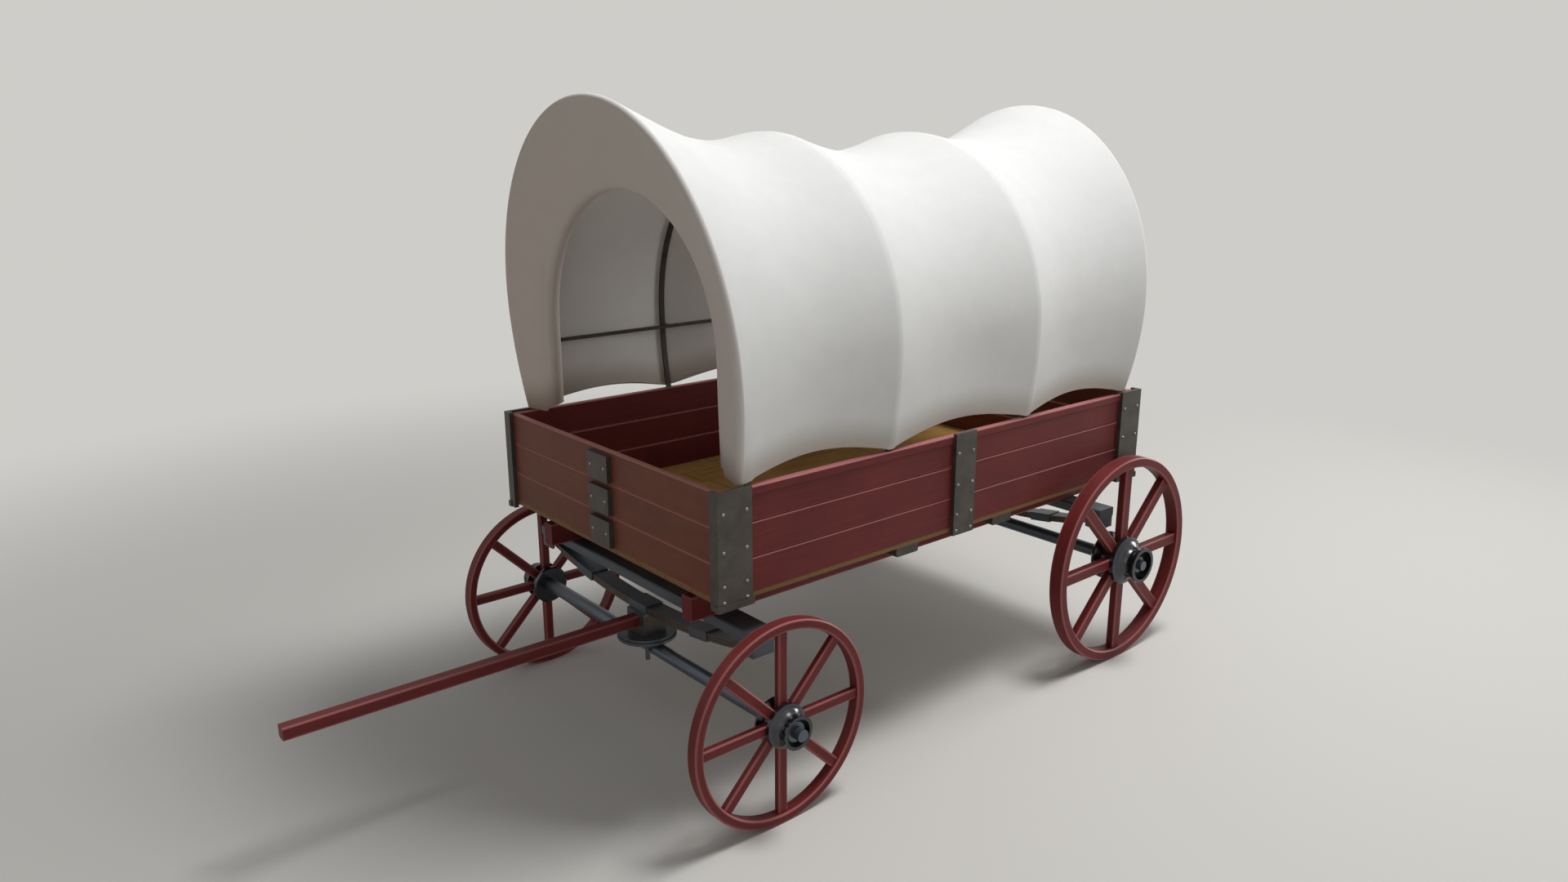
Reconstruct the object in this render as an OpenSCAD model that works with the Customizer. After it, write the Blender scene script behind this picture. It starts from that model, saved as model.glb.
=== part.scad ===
// Four-wheeled covered wagon: plank box on two sills, cross springs, steered
// front axle with a draught pole, and a canvas cover on four hoops.
// +X is forward, +Y is the left side, +Z is up, the wheels stand on Z = 0.

/* [Box] */
// Length of the box over its end panels
box_l = 3000; // [2400:10:3600]
// Width of the box over its side planks
box_w = 1824; // [1600:2:1900]
// Planks in each wall
planks = 3; // [2:1:4]
// Height of one plank
plank_h = 156; // [120:1:180]
// Thickness of a plank
plank_t = 35; // [28:1:45]
// Open seam between two planks
plank_seam = 4; // [2:0.5:6]
// Bevel along the edges of a plank
plank_bevel = 5; // [2:0.5:8]
// Height of the rail strip along the top of each side
rail_h = 42; // [30:1:60]
// How far the rail strip stands proud of the planks
rail_proud = 6; // [3:0.5:10]

/* [Floor] */
// Thickness of the floor boards
floor_t = 20; // [15:1:30]
// Floor boards side by side
floor_boards_n = 9; // [6:1:12]
// Open seam between two floor boards
floor_seam = 3; // [1:0.5:5]

/* [Irons] */
// Thickness of the wall irons
iron_t = 22; // [12:1:30]
// Width of a corner iron along the side
corner_iron_w = 160; // [120:1:200]
// Width of a middle iron
mid_iron_w = 150; // [100:1:180]
// Place of the middle irons along the box
mid_iron_x = -10; // [-100:5:100]
// How far the irons stand above the rail
iron_above = 10; // [5:1:20]
// How far the irons reach below the floor
iron_below = 18; // [10:1:25]
// Height of the shoe at the foot of a corner iron
shoe_h = 30; // [20:1:36]
// How far that shoe stands proud
shoe_proud = 6; // [3:1:10]
// Width of the iron plates on the end panels
plate_w = 175; // [120:1:220]
// Height of those plates
plate_h = 130; // [100:1:140]
// Height of a plate's lower edge above its plank's
plate_low = 8; // [4:1:14]
// Thickness of those plates
plate_t = 26; // [12:1:32]

/* [Underframe] */
// Height of the cross-members under the floor
cross_h = 50; // [40:1:60]
// Width of the two middle cross-members
cross_w = 150; // [100:1:180]
// Width of the two end cross-members
end_cross_w = 110; // [80:1:120]
// Place of the middle cross-members from the box centre
cross_x = 356; // [250:1:450]
// Distance from the ends of the box to the middles of the end cross-members
end_cross_in = 115; // [105:1:140]
// How far the middle cross-members stop short of the sides of the box
cross_short = 12; // [4:1:100]
// How far the end cross-members stop short of the sides of the box
end_cross_short = 92; // [62:1:160]
// Height of the sills
sill_h = 118; // [90:1:125]
// Width of the sills
sill_w = 75; // [60:1:90]
// Distance from the sides of the box to the middles of the sills
sill_in = 287; // [272:1:360]
// How far the sills stop short of the ends of the box
sill_short = 32; // [10:1:50]
// Height of the bolsters
bolster_h = 56; // [50:1:62]
// Width of the bolsters
bolster_w = 132; // [124:1:142]
// How far the bolsters reach out beyond the sides of the box
bolster_over = 18; // [8:1:38]
// Bevel along the edges of beams
beam_bevel = 6; // [3:0.5:10]

/* [Axles] */
// Distance from the front of the box to the front axle and its kingpin
front_axle_in = 220; // [200:1:240]
// Distance from the rear of the box to the rear axle
rear_axle_in = 225; // [200:1:250]
// Radius of the axle beams
axle_r = 36; // [34:1:40]
// Radius of the spindles in the hubs
spindle_r = 28; // [22:1:32]
// Distance from the sides of the box to the inner faces of the rear rims
wheel_clear = 82; // [74:1:114]
// How far the spindles reach beyond the outer faces of the rims
axle_over = 117; // [114:1:132]

/* [Front wheels] */
// Radius of the front wheels
front_r = 480; // [460:1:490]
// Width of the front rims
front_rim_w = 62; // [55:1:70]
// Depth of the front rims
front_rim_t = 44; // [36:1:52]
// Width of a front spoke
front_spoke_w = 50; // [40:1:56]
// Depth of a front spoke along the axle
front_spoke_d = 36; // [28:1:44]
// Radius of the flanges of the front hubs
front_flange_r = 104; // [96:1:112]
// Radius of the cup at the outer end of the front hubs
front_cup_r = 78; // [72:1:84]

/* [Rear wheels] */
// Radius of the rear wheels
rear_r = 600; // [585:1:610]
// Width of the rear rims
rear_rim_w = 84; // [70:1:90]
// Depth of the rear rims
rear_rim_t = 54; // [44:1:60]
// Width of a rear spoke
rear_spoke_w = 62; // [50:1:70]
// Depth of a rear spoke along the axle
rear_spoke_d = 50; // [40:1:56]
// Radius of the flanges of the rear hubs
rear_flange_r = 138; // [126:1:142]
// Radius of the cup at the outer end of the rear hubs
rear_cup_r = 102; // [96:1:112]

/* [Wheels] */
// Spokes in each wheel
spokes_n = 8; // [6:1:12]
// Bevel along the edges of rims and spokes
wheel_bevel = 6; // [3:0.5:9]

/* [Springs] */
// Leaves in each cross spring
leaves_n = 3; // [2:1:4]
// Thickness of a leaf
leaf_t = 12; // [10:0.5:14]
// Width of a leaf
leaf_w = 90; // [80:1:100]
// Distance from the ends of a bolster to the middles of its spring hangers
hanger_in = 70; // [60:1:110]
// How far the middle of a spring hangs below its ends
spring_sag = 96; // [88:1:102]
// Height of the seat between the rear axle and its spring
spring_seat_h = 34; // [28:1:40]
// Room between the ends of a spring and the bolster above
spring_room = 13; // [12:1:24]

/* [Turntable and pole] */
// Radius of the lower turntable plate
turntable_r = 150; // [130:1:170]
// Thickness of each turntable plate
turntable_t = 14; // [10:1:16]
// Radius of the kingpin
kingpin_r = 12; // [10:0.5:16]
// How far the kingpin reaches below the axle
kingpin_below = 55; // [30:1:80]
// Width of the block that carries the pole
block_w = 150; // [120:1:170]
// Length of that block along the wagon
block_l = 130; // [110:1:150]
// Width and height of the pole
pole_w = 60; // [50:1:64]
// Least wall of the block above and below the pole
pole_wall = 20; // [12:1:22]
// Distance from the kingpin to the tip of the pole
pole_reach = 1755; // [1400:5:2400]

/* [Cover] */
// How far the middle hoops swell out beyond the sides of the box
hoop_swell = 38; // [30:1:48]
// Height of the widest part of the middle hoops above the rail
hoop_spring_h = 473; // [440:1:500]
// How far the end hoops stay inside the sides of the box
end_hoop_draw = 7; // [2:1:10]
// Height of the widest part of the end hoops above the rail
end_hoop_spring_h = 573; // [555:1:578]
// Thickness of a hoop bar
hoop_t = 12; // [8:0.5:16]
// Width of a hoop bar along the wagon
hoop_w = 30; // [24:1:40]
// Place of the middle hoops from the box centre
hoop_x = 500; // [450:5:550]
// Distance from the ends of the box to the end hoops
end_hoop_in = 165; // [160:1:180]
// Width and height of the rods along the hoops
rod_w = 18; // [12:1:22]
// Height of those rods above the rail
rod_h = 360; // [300:5:400]
// Thickness of the canvas with its lining
cover_t = 10; // [6:0.5:14]
// Distance from the ends of the box to the foot of the cover's lips
lip_in = 102; // [94:1:106]
// How far the top of the lip leans out beyond its foot
lip_lean = 140; // [110:5:180]
// How far the lips rise above the middle hoops
lip_rise = 165; // [155:1:190]
// How far the lips swell out beyond the middle hoops
lip_swell = 25; // [20:1:40]
// Radius of the rounded edge of the lip
lip_round = 24; // [18:1:30]
// Width of the band of canvas between a lip and its opening, at the side
mouth_band = 275; // [235:5:335]
// Height of that band at the top
mouth_band_top = 411; // [355:1:475]
// How far the edge of the opening lies behind the lip at the rail
mouth_depth = 46; // [30:1:60]
// How far the top of that edge leans out beyond its foot
mouth_lean = 20; // [0:1:60]
// Share of its length that the middle bay of the cover sags at the top
sag_share = 0.097; // [0.06:0.001:0.11]
// Share of its length that an end bay of the cover sags at the top
end_sag_share = 0.142; // [0.1:0.001:0.15]
// Sag of the canvas in each bay, at its sides
sag_side = 32; // [10:1:40]
// Rise of the hem between two hoops
hem_rise = 62; // [40:1:90]

/* [Hidden] */

// Colours
red_paint = "#8a2f31";
floor_wood = "#b98a4a";
dark_iron = "#3b3d3e";
grey_steel = "#59636b";
canvas = "#e9e6df";

// Fits and overruns
cut_over = 10;
seat_gap = 0.2;
bore_gap = 0.08;
side_gap = 0.5;
turn_gap = 0.3;
leaf_gap = 0.5;
round_fn = 96;
hoop_fn = 240;
leaf_fn = 1440;

// Heights, from the axles up to the rail: the springs clear the rear axle by its seat and
// the front axle by the turntable and a block that holds the pole
axle_top = front_r + axle_r;
table_seat_h = 10;
table_z = axle_top + table_seat_h;
block_z = table_z + 2 * turntable_t;
saddle_t = 10;
spring_low = max(rear_r + axle_r + spring_seat_h,
                 block_z + pole_w + 2 * pole_wall + turn_gap + saddle_t);
leaf_pitch = leaf_t + leaf_gap;
spring_pack = leaves_n * leaf_pitch - leaf_gap;
spring_z = spring_low + spring_pack;
bolster_z = spring_z + spring_sag + spring_room;
sill_z = bolster_z + bolster_h;
cross_z = sill_z + sill_h;
floor_z = cross_z + cross_h;
box_z = floor_z + floor_t;
wall_h = planks * plank_h + (planks - 1) * plank_seam;
rail_z = box_z + wall_h;
iron_z = floor_z - iron_below;
iron_h = rail_z + iron_above - iron_z;

// Places along the box, from its middle
front_axle_x = box_l / 2 - front_axle_in;
rear_axle_x = rear_axle_in - box_l / 2;
end_cross_x = box_l / 2 - end_cross_in;
end_hoop_x = box_l / 2 - end_hoop_in;
lip_x = box_l / 2 - lip_in;
sill_l = box_l - 2 * sill_short;

// Widths across the box
cross_l = box_w - 2 * cross_short;
end_cross_l = box_w - 2 * end_cross_short;
sill_gauge = box_w - 2 * sill_in;
bolster_l = box_w + 2 * bolster_over;
spring_span = bolster_l - 2 * hanger_in;
track_over = box_w + 2 * (wheel_clear + rear_rim_w);
axle_l = track_over + 2 * axle_over;
hoop_r = box_w / 2 + hoop_swell;
end_hoop_r = box_w / 2 - end_hoop_draw;
lip_half_w = hoop_r + lip_swell;
lip_h = hoop_r + lip_rise;
mouth_half_w = lip_half_w - mouth_band;
mouth_h = lip_h - mouth_band_top;

// The frame's origin lies under the middle of the whole length
pole_tip_x = front_axle_x + pole_reach;
frame_x = (pole_tip_x + rear_axle_x - rear_r) / 2;

module placed(x = 0, y = 0, z = 0) {
  translate([x - frame_x, y, z]) children();
}

// A bar of a given outline along X, its middle at the origin
module bar_x(length) {
  rotate([90, 0, 90]) linear_extrude(length, center = true) children();
}

// A bar of a given outline along Y, its middle at the origin
module bar_y(length) {
  rotate([90, 0, 0]) linear_extrude(length, center = true) children();
}

// A rectangle from its lower left corner, with a bevel on each corner
module beveled(w, h, bevel) {
  polygon([
    [bevel, 0], [w - bevel, 0], [w, bevel], [w, h - bevel],
    [w - bevel, h], [bevel, h], [0, h - bevel], [0, bevel]
  ]);
}

// Box

module floor_boards() {
  pitch = box_w / floor_boards_n;
  color(floor_wood)
    for (i = [0:floor_boards_n - 1])
      placed(0, (i - floor_boards_n / 2) * pitch + floor_seam / 2, floor_z)
        translate([-box_l / 2, 0, 0])
          cube([box_l, pitch - floor_seam, floor_t]);
}

// One wall of planks, drawn as an outline from its inner face to its outer face
module wall_outline(with_rail) {
  for (i = [0:planks - 1])
    translate([0, i * (plank_h + plank_seam)]) beveled(plank_t, plank_h, plank_bevel);
  if (with_rail)
    translate([plank_t / 2, wall_h - rail_h])
      beveled(plank_t / 2 + rail_proud, rail_h, plank_bevel);
}

module side_wall(side) {
  color(red_paint)
    placed(0, 0, box_z)
      mirror([0, side < 0 ? 1 : 0, 0])
        translate([0, box_w / 2 - plank_t, 0])
          difference() {
            bar_x(box_l) wall_outline(true);
            for (seat = iron_seats())
              translate([seat[0], plank_t, wall_h - rail_h - cut_over])
                cube([seat[1], rail_proud + cut_over, rail_h + 2 * cut_over]);
          }
}

// Where the irons lie along a side: start and width
function iron_seats() = [
  [-box_l / 2 - cut_over, corner_iron_w + cut_over],
  [mid_iron_x - mid_iron_w / 2, mid_iron_w],
  [box_l / 2 - corner_iron_w, corner_iron_w + cut_over]
];

module side_left() { side_wall(1); }
module side_right() { side_wall(-1); }

module end_panel(end) {
  color(red_paint)
    placed(0, 0, box_z)
      mirror([end < 0 ? 1 : 0, 0, 0])
        translate([box_l / 2 - plank_t, 0, 0])
          bar_y(box_w - 2 * plank_t) wall_outline(false);
}

module front_panel() { end_panel(1); }
module rear_panel() { end_panel(-1); }

// One iron plate on the middle of each plank, at both ends
module panel_plates() {
  color(dark_iron)
    for (end = [-1, 1], i = [0:planks - 1])
      placed(end * (box_l / 2 + plate_t / 2), 0,
             box_z + i * (plank_h + plank_seam) + plate_low)
        translate([-plate_t / 2, -plate_w / 2, 0])
          cube([plate_t, plate_w, plate_h]);
}

// A corner iron: a leaf along the side and a return over the plank ends
module corner_iron(end, side) {
  color(dark_iron)
    placed(end * box_l / 2, side * box_w / 2, iron_z)
      mirror([end < 0 ? 1 : 0, 0, 0])
        mirror([0, side < 0 ? 1 : 0, 0]) {
          translate([-corner_iron_w, 0, 0])
            cube([corner_iron_w + iron_t, iron_t, iron_h]);
          translate([0, -plank_t, 0])
            cube([iron_t, plank_t + iron_t, iron_h]);
          translate([-corner_iron_w - shoe_proud, 0, 0])
            cube([corner_iron_w + iron_t + 2 * shoe_proud, iron_t + shoe_proud, shoe_h]);
        }
}

module iron_front_left() { corner_iron(1, 1); }
module iron_front_right() { corner_iron(1, -1); }
module iron_rear_left() { corner_iron(-1, 1); }
module iron_rear_right() { corner_iron(-1, -1); }

module mid_iron(side) {
  color(dark_iron)
    placed(mid_iron_x, side * (box_w / 2 + iron_t / 2), iron_z)
      translate([-mid_iron_w / 2, -iron_t / 2, 0])
        cube([mid_iron_w, iron_t, iron_h]);
}

module iron_mid_left() { mid_iron(1); }
module iron_mid_right() { mid_iron(-1); }

// Underframe

module sill(side) {
  color(red_paint)
    placed(0, side * sill_gauge / 2 - sill_w / 2, sill_z)
      bar_x(sill_l) beveled(sill_w, sill_h, beam_bevel);
}

module sill_left() { sill(1); }
module sill_right() { sill(-1); }

// Place, width and length of each cross-member
function cross_table() = [
  [-end_cross_x, end_cross_w, end_cross_l],
  [-cross_x, cross_w, cross_l],
  [cross_x, cross_w, cross_l],
  [end_cross_x, end_cross_w, end_cross_l]
];

module cross_members() {
  color(dark_iron)
    for (c = cross_table())
      placed(c[0] - c[1] / 2, 0, cross_z)
        bar_y(c[2]) beveled(c[1], cross_h, beam_bevel);
}

module bolster(x) {
  color(dark_iron)
    placed(x - bolster_w / 2, 0, bolster_z)
      bar_y(bolster_l) beveled(bolster_w, bolster_h, beam_bevel);
}

module bolster_front() { bolster(front_axle_x); }
module bolster_rear() { bolster(rear_axle_x); }

// Cross springs: leaves are arcs about a centre high above the wagon

spring_half = spring_span / 2;
spring_r = (spring_half * spring_half + spring_sag * spring_sag) / (2 * spring_sag);
leaf_over = 34;
hanger_pin_r = 8;
pin_arm = spring_r + leaf_t + seat_gap + hanger_pin_r;
pin_angle = asin(spring_half / pin_arm);
pin_z = spring_z + spring_r - pin_arm * cos(pin_angle);

// The main leaf runs a little past its hangers; each next leaf is shorter by a share
leaf_step_share = 0.075;
leaf_end_angle = asin((spring_half + leaf_over) / spring_r);
function leaf_angle(i) = leaf_end_angle * (1 - i * leaf_step_share);

// Puts children on the top of the main leaf, turned to a given angle of the arc
module on_leaf(x, angle) {
  placed(x, 0, spring_z + spring_r)
    rotate([angle, 0, 0])
      translate([0, 0, -spring_r]) children();
}

module leaves(x) {
  color(grey_steel)
    for (i = [0:leaves_n - 1]) leaf(x, i);
}

module leaf(x, i) {
  placed(x, 0, spring_z + spring_r)
    rotate([0, 90, 0])
      rotate([0, 0, -leaf_angle(i)])
        rotate_extrude(angle = 2 * leaf_angle(i), $fn = leaf_fn)
          translate([spring_r + i * leaf_pitch, -leaf_w / 2])
            square([leaf_t, leaf_w]);
}

module spring_front_leaves() { leaves(front_axle_x); }
module spring_rear_leaves() { leaves(rear_axle_x); }

// Bands: two closed clips round the leaves and one strap over the middle, each straight
// inside and so opened by the rise of the leaves along it
band_t = 5;
clip_l = 138;
strap_l = 150;
clip_angle_share = 0.585;
function leaf_rise(length) = length * length / (8 * spring_r);

module clip(x, angle) {
  above = leaf_gap + leaf_rise(clip_l);
  inner_h = spring_pack + leaf_gap + above;
  inner_w = leaf_w + 2 * leaf_gap;
  on_leaf(x, angle)
    translate([0, 0, above])
      bar_y(clip_l)
        translate([-inner_w / 2 - band_t, -inner_h - band_t])
          difference() {
            square([inner_w + 2 * band_t, inner_h + 2 * band_t]);
            translate([band_t, band_t]) square([inner_w, inner_h]);
          }
}

module strap(x) {
  inner_w = leaf_w + 2 * leaf_gap;
  inner_h = spring_pack + leaf_gap + leaf_rise(strap_l);
  placed(x, 0, spring_low)
    bar_y(strap_l)
      difference() {
        translate([-inner_w / 2 - band_t, 0])
          square([inner_w + 2 * band_t, inner_h + band_t]);
        translate([-inner_w / 2, -cut_over])
          square([inner_w, inner_h + cut_over]);
      }
}

module bands(x) {
  color(dark_iron) {
    for (s = [-1, 1]) clip(x, s * pin_angle * clip_angle_share);
    strap(x);
  }
}

module spring_front_bands() { bands(front_axle_x); }
module spring_rear_bands() { bands(rear_axle_x); }

// Hangers: two cheeks under the bolster, an end plate flush with its end, and a pin that
// carries the leaf's end
hanger_t = 14;
hanger_end_t = 20;
hanger_back = 27;
hanger_below = 27;

module hangers(x) {
  cheek_in = leaf_w / 2 + side_gap;
  cheek_out = cheek_in + hanger_t;
  low = pin_z - hanger_below;
  color(dark_iron)
    for (s = [0, 1])
      mirror([0, s, 0])
        placed(x, spring_half, 0) {
          for (e = [-cheek_out, cheek_in])
            translate([e, -hanger_back, low])
              cube([hanger_t, hanger_back + hanger_in, bolster_z - low]);
          translate([-cheek_in, hanger_in - hanger_end_t, low])
            cube([2 * cheek_in, hanger_end_t, bolster_z - low]);
          translate([0, 0, pin_z])
            rotate([0, 90, 0])
              cylinder(r = hanger_pin_r, h = cheek_in + cheek_out, center = true, $fn = round_fn);
        }
}

module spring_front_hangers() { hangers(front_axle_x); }
module spring_rear_hangers() { hangers(rear_axle_x); }

// Front: the saddle under the spring turns on the pole block about the kingpin
saddle_z = spring_low - saddle_t;

module spring_front_saddle() {
  color(dark_iron)
    placed(front_axle_x, 0, saddle_z)
      difference() {
        translate([-block_l / 2, -block_w / 2, 0]) cube([block_l, block_w, saddle_t]);
        translate([0, 0, -cut_over])
          cylinder(r = kingpin_r + seat_gap, h = saddle_t + 2 * cut_over, $fn = round_fn);
      }
}

kingpin_low = front_r - axle_r - kingpin_below;

module kingpin() {
  color(grey_steel)
    placed(front_axle_x, 0, kingpin_low)
      cylinder(r = kingpin_r, h = spring_low - kingpin_low, $fn = round_fn);
}

module kingpin_bore() {
  placed(front_axle_x, 0, 0)
    cylinder(r = kingpin_r + bore_gap, h = box_z, $fn = round_fn);
}

// Rear: a seat between the spring and the axle, hollowed to the beam
rear_seat_l = 110;

module spring_rear_seat() {
  color(dark_iron)
    difference() {
      placed(rear_axle_x, 0, 0)
        translate([-rear_seat_l / 2, -strap_l / 2, rear_r])
          cube([rear_seat_l, strap_l, spring_low - rear_r]);
      axle_beam(rear_axle_x, rear_r, axle_r + seat_gap);
    }
}

// Axles

module axle_beam(x, z, r) {
  placed(x, 0, z)
    rotate([90, 0, 0]) cylinder(r = r, h = axle_l, center = true, $fn = round_fn);
}

module axle(x, z, shoulder_y) {
  color(grey_steel)
    placed(x, 0, z)
      rotate([90, 0, 0]) {
        cylinder(r = axle_r, h = 2 * shoulder_y, center = true, $fn = round_fn);
        cylinder(r = spindle_r, h = axle_l, center = true, $fn = round_fn);
      }
}

module axle_rear() { axle(rear_axle_x, rear_r, shoulder_y(rear_wheel())); }

module axle_front() {
  difference() {
    axle(front_axle_x, front_r, shoulder_y(front_wheel()));
    color(grey_steel) kingpin_bore();
  }
}

nut_r = 46;
nut_t = 16;

// The nuts that hold the wheels on their spindles
module nuts(x, z, w) {
  color(dark_iron)
    for (s = [-1, 1])
      placed(x, s * (nut_y(w) + nut_t / 2), z)
        rotate([90, 0, 0])
          difference() {
            cylinder(r = nut_r, h = nut_t, center = true, $fn = round_fn);
            cylinder(r = spindle_r + bore_gap, h = nut_t + cut_over, center = true, $fn = round_fn);
          }
}

module axle_rear_nuts() { nuts(rear_axle_x, rear_r, rear_wheel()); }
module axle_front_nuts() { nuts(front_axle_x, front_r, front_wheel()); }

// Turntable, pole block and pole

table_seat_l = 100;
table_seat_w = 170;
upper_table_inset = 8;
block_h = saddle_z - turn_gap - block_z;
pole_top_drop = 6;
pole_z = block_z + block_h - pole_top_drop - pole_w;
pole_socket = 40;

module turntable_lower() {
  color(dark_iron)
    difference() {
      union() {
        placed(front_axle_x, 0, table_z)
          cylinder(r = turntable_r, h = turntable_t, $fn = round_fn);
        placed(front_axle_x, 0, front_r)
          translate([-table_seat_l / 2, -table_seat_w / 2, 0])
            cube([table_seat_l, table_seat_w, table_z - front_r]);
      }
      axle_beam(front_axle_x, front_r, axle_r + seat_gap);
      kingpin_bore();
    }
}

module turntable_upper() {
  color(dark_iron)
    difference() {
      placed(front_axle_x, 0, table_z + turntable_t)
        cylinder(r = turntable_r - upper_table_inset, h = turntable_t, $fn = round_fn);
      kingpin_bore();
    }
}

module pole_block() {
  color(dark_iron)
    difference() {
      placed(front_axle_x - block_l / 2, -block_w / 2, block_z)
        cube([block_l, block_w, block_h]);
      kingpin_bore();
      placed(front_axle_x + block_l / 2 - pole_socket, 0, pole_z)
        translate([-seat_gap, -pole_w / 2 - seat_gap, -seat_gap])
          cube([pole_socket + cut_over, pole_w + 2 * seat_gap, pole_w + 2 * seat_gap]);
    }
}

module pole() {
  pole_start = front_axle_x + block_l / 2 - pole_socket;
  color(red_paint)
    placed((pole_start + pole_tip_x) / 2, -pole_w / 2, pole_z)
      bar_x(pole_tip_x - pole_start) beveled(pole_w, pole_w, beam_bevel);
}

// Wheels

// Columns of a wheel: radius, rim width, rim depth, spoke width, spoke depth,
// flange radius, cup radius, places along the axle of the hub's inner end,
// outer flange and outer end, all measured outward from the middle of the rim
front_hub_in = -62;
front_flange_clear = 6;
front_hub_out = 119;
rear_hub_in = -104;
rear_flange_clear = 1;
rear_hub_out = 156;

// Place of an outer flange that clears the spokes, from their depth and its radius
function flange_place(spoke_d, clear, flange_r) = spoke_d / 2 + clear + flange_r * flange_t_share / 2;

function front_wheel() = [
  front_r, front_rim_w, front_rim_t, front_spoke_w, front_spoke_d,
  front_flange_r, front_cup_r, front_hub_in,
  flange_place(front_spoke_d, front_flange_clear, front_flange_r), front_hub_out
];
function rear_wheel() = [
  rear_r, rear_rim_w, rear_rim_t, rear_spoke_w, rear_spoke_d,
  rear_flange_r, rear_cup_r, rear_hub_in,
  flange_place(rear_spoke_d, rear_flange_clear, rear_flange_r), rear_hub_out
];

// Middle of the rim, shoulder of the axle and seat of the nut, from the wagon's middle
function rim_y(w) = (track_over - w[1]) / 2;
function shoulder_y(w) = rim_y(w) + w[7] - side_gap;
function nut_y(w) = rim_y(w) + w[9] - cup_depth(w) + side_gap;

// Shares of the flange and cup radii that shape a hub
barrel_share = 0.72;
neck_sag_share = 0.2;
cup_wall_share = 0.2;
cup_depth_share = 0.42;
flange_t_share = 0.17;
neck_n = 6;
function barrel_r(w) = w[5] * barrel_share;
function cup_depth(w) = w[6] * cup_depth_share;
function flange_t(w) = w[5] * flange_t_share;

// Puts a wheel drawn about Z, its outer side up, on its spindle
module on_spindle(x, side, w) {
  placed(x, side * rim_y(w), w[0])
    rotate([side > 0 ? -90 : 90, 0, 0]) children();
}

module rim(x, side, w) {
  color(red_paint)
    on_spindle(x, side, w)
      rotate_extrude($fn = hoop_fn)
        translate([w[0] - w[2], -w[1] / 2]) beveled(w[2], w[1], wheel_bevel);
}

module spokes(x, side, w) {
  spoke_l = w[0] - w[2] - barrel_r(w);
  color(red_paint)
    on_spindle(x, side, w)
      intersection() {
        for (i = [0:spokes_n - 1])
          rotate([0, 0, i * 360 / spokes_n])
            translate([barrel_r(w) + spoke_l / 2, -w[3] / 2, -w[4] / 2])
              bar_x(spoke_l + 2 * cut_over) beveled(w[3], w[4], wheel_bevel);
        difference() {
          cylinder(r = w[0] - w[2] - seat_gap, h = w[1], center = true, $fn = hoop_fn);
          cylinder(r = barrel_r(w) + seat_gap, h = w[1] + cut_over, center = true, $fn = hoop_fn);
        }
      }
}

// Hub: inner flange, barrel, outer flange, a hollow neck and a cup with a recess
module hub(x, side, w) {
  bore = spindle_r + bore_gap;
  cup = w[6];
  cup_in = cup * (1 - cup_wall_share);
  flange = w[5];
  step = flange_t(w);
  neck_in = [flange - step, w[8] + step];
  neck_out = [cup, w[9] - step / 2];
  neck_sag = cup * neck_sag_share;
  color(dark_iron)
    on_spindle(x, side, w)
      rotate_extrude($fn = round_fn)
        polygon(concat(
          [[bore, w[7]], [flange - step / 2, w[7]], [flange, w[7] + step / 2],
           [flange, w[7] + step], [barrel_r(w), w[7] + 2 * step],
           [barrel_r(w), w[8] - step / 2], [flange, w[8] - step / 2],
           [flange, w[8] + step / 2]],
          [for (i = [0:neck_n])
            neck_in + (neck_out - neck_in) * i / neck_n - [neck_sag * sin(180 * i / neck_n), 0]],
          [[cup, w[9]], [cup_in, w[9]], [cup_in, w[9] - cup_depth(w)],
           [bore, w[9] - cup_depth(w)]]
        ));
}

module rim_front_left() { rim(front_axle_x, 1, front_wheel()); }
module spokes_front_left() { spokes(front_axle_x, 1, front_wheel()); }
module hub_front_left() { hub(front_axle_x, 1, front_wheel()); }
module rim_front_right() { rim(front_axle_x, -1, front_wheel()); }
module spokes_front_right() { spokes(front_axle_x, -1, front_wheel()); }
module hub_front_right() { hub(front_axle_x, -1, front_wheel()); }
module rim_rear_left() { rim(rear_axle_x, 1, rear_wheel()); }
module spokes_rear_left() { spokes(rear_axle_x, 1, rear_wheel()); }
module hub_rear_left() { hub(rear_axle_x, 1, rear_wheel()); }
module rim_rear_right() { rim(rear_axle_x, -1, rear_wheel()); }
module spokes_rear_right() { spokes(rear_axle_x, -1, rear_wheel()); }
module hub_rear_right() { hub(rear_axle_x, -1, rear_wheel()); }

// Hoops: a half round top on legs that draw in a little towards the rail

// Half width over the bars where the hoops stand on the rails
hoop_foot = box_w / 2 - (plank_t - hoop_t) / 2;

// Radius of a leg that falls from the full width r to the foot over a height h
hoop_arch_n = 48;
hoop_leg_n = 12;
function leg_r(r, h) = ((r - hoop_foot) * (r - hoop_foot) + h * h) / (2 * (r - hoop_foot));

// Outline of a hoop's outer edge (inset 0) or inner edge, from the right foot to the left
function hoop_edge(r, h, inset) =
  let (leg = leg_r(r, h), sweep = asin(h / (leg - inset)))
  concat(
    [for (i = [0:hoop_leg_n - 1])
      let (a = sweep * (1 - i / hoop_leg_n))
      [r - leg + (leg - inset) * cos(a), -(leg - inset) * sin(a)]],
    [for (i = [0:hoop_arch_n])
      let (a = 180 * i / hoop_arch_n)
      [(r - inset) * cos(a), (r - inset) * sin(a)]],
    [for (i = [1:hoop_leg_n])
      let (a = sweep * i / hoop_leg_n)
      [leg - r - (leg - inset) * cos(a), -(leg - inset) * sin(a)]]
  );

// A hoop from its place along the box, radius over the bar and height of the widest part
module hoop(x, r, h) {
  color(dark_iron)
    placed(x, 0, rail_z + h)
      bar_x(hoop_w)
        polygon(concat(hoop_edge(r, h, 0), reversed(hoop_edge(r, h, hoop_t))));
}

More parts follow.
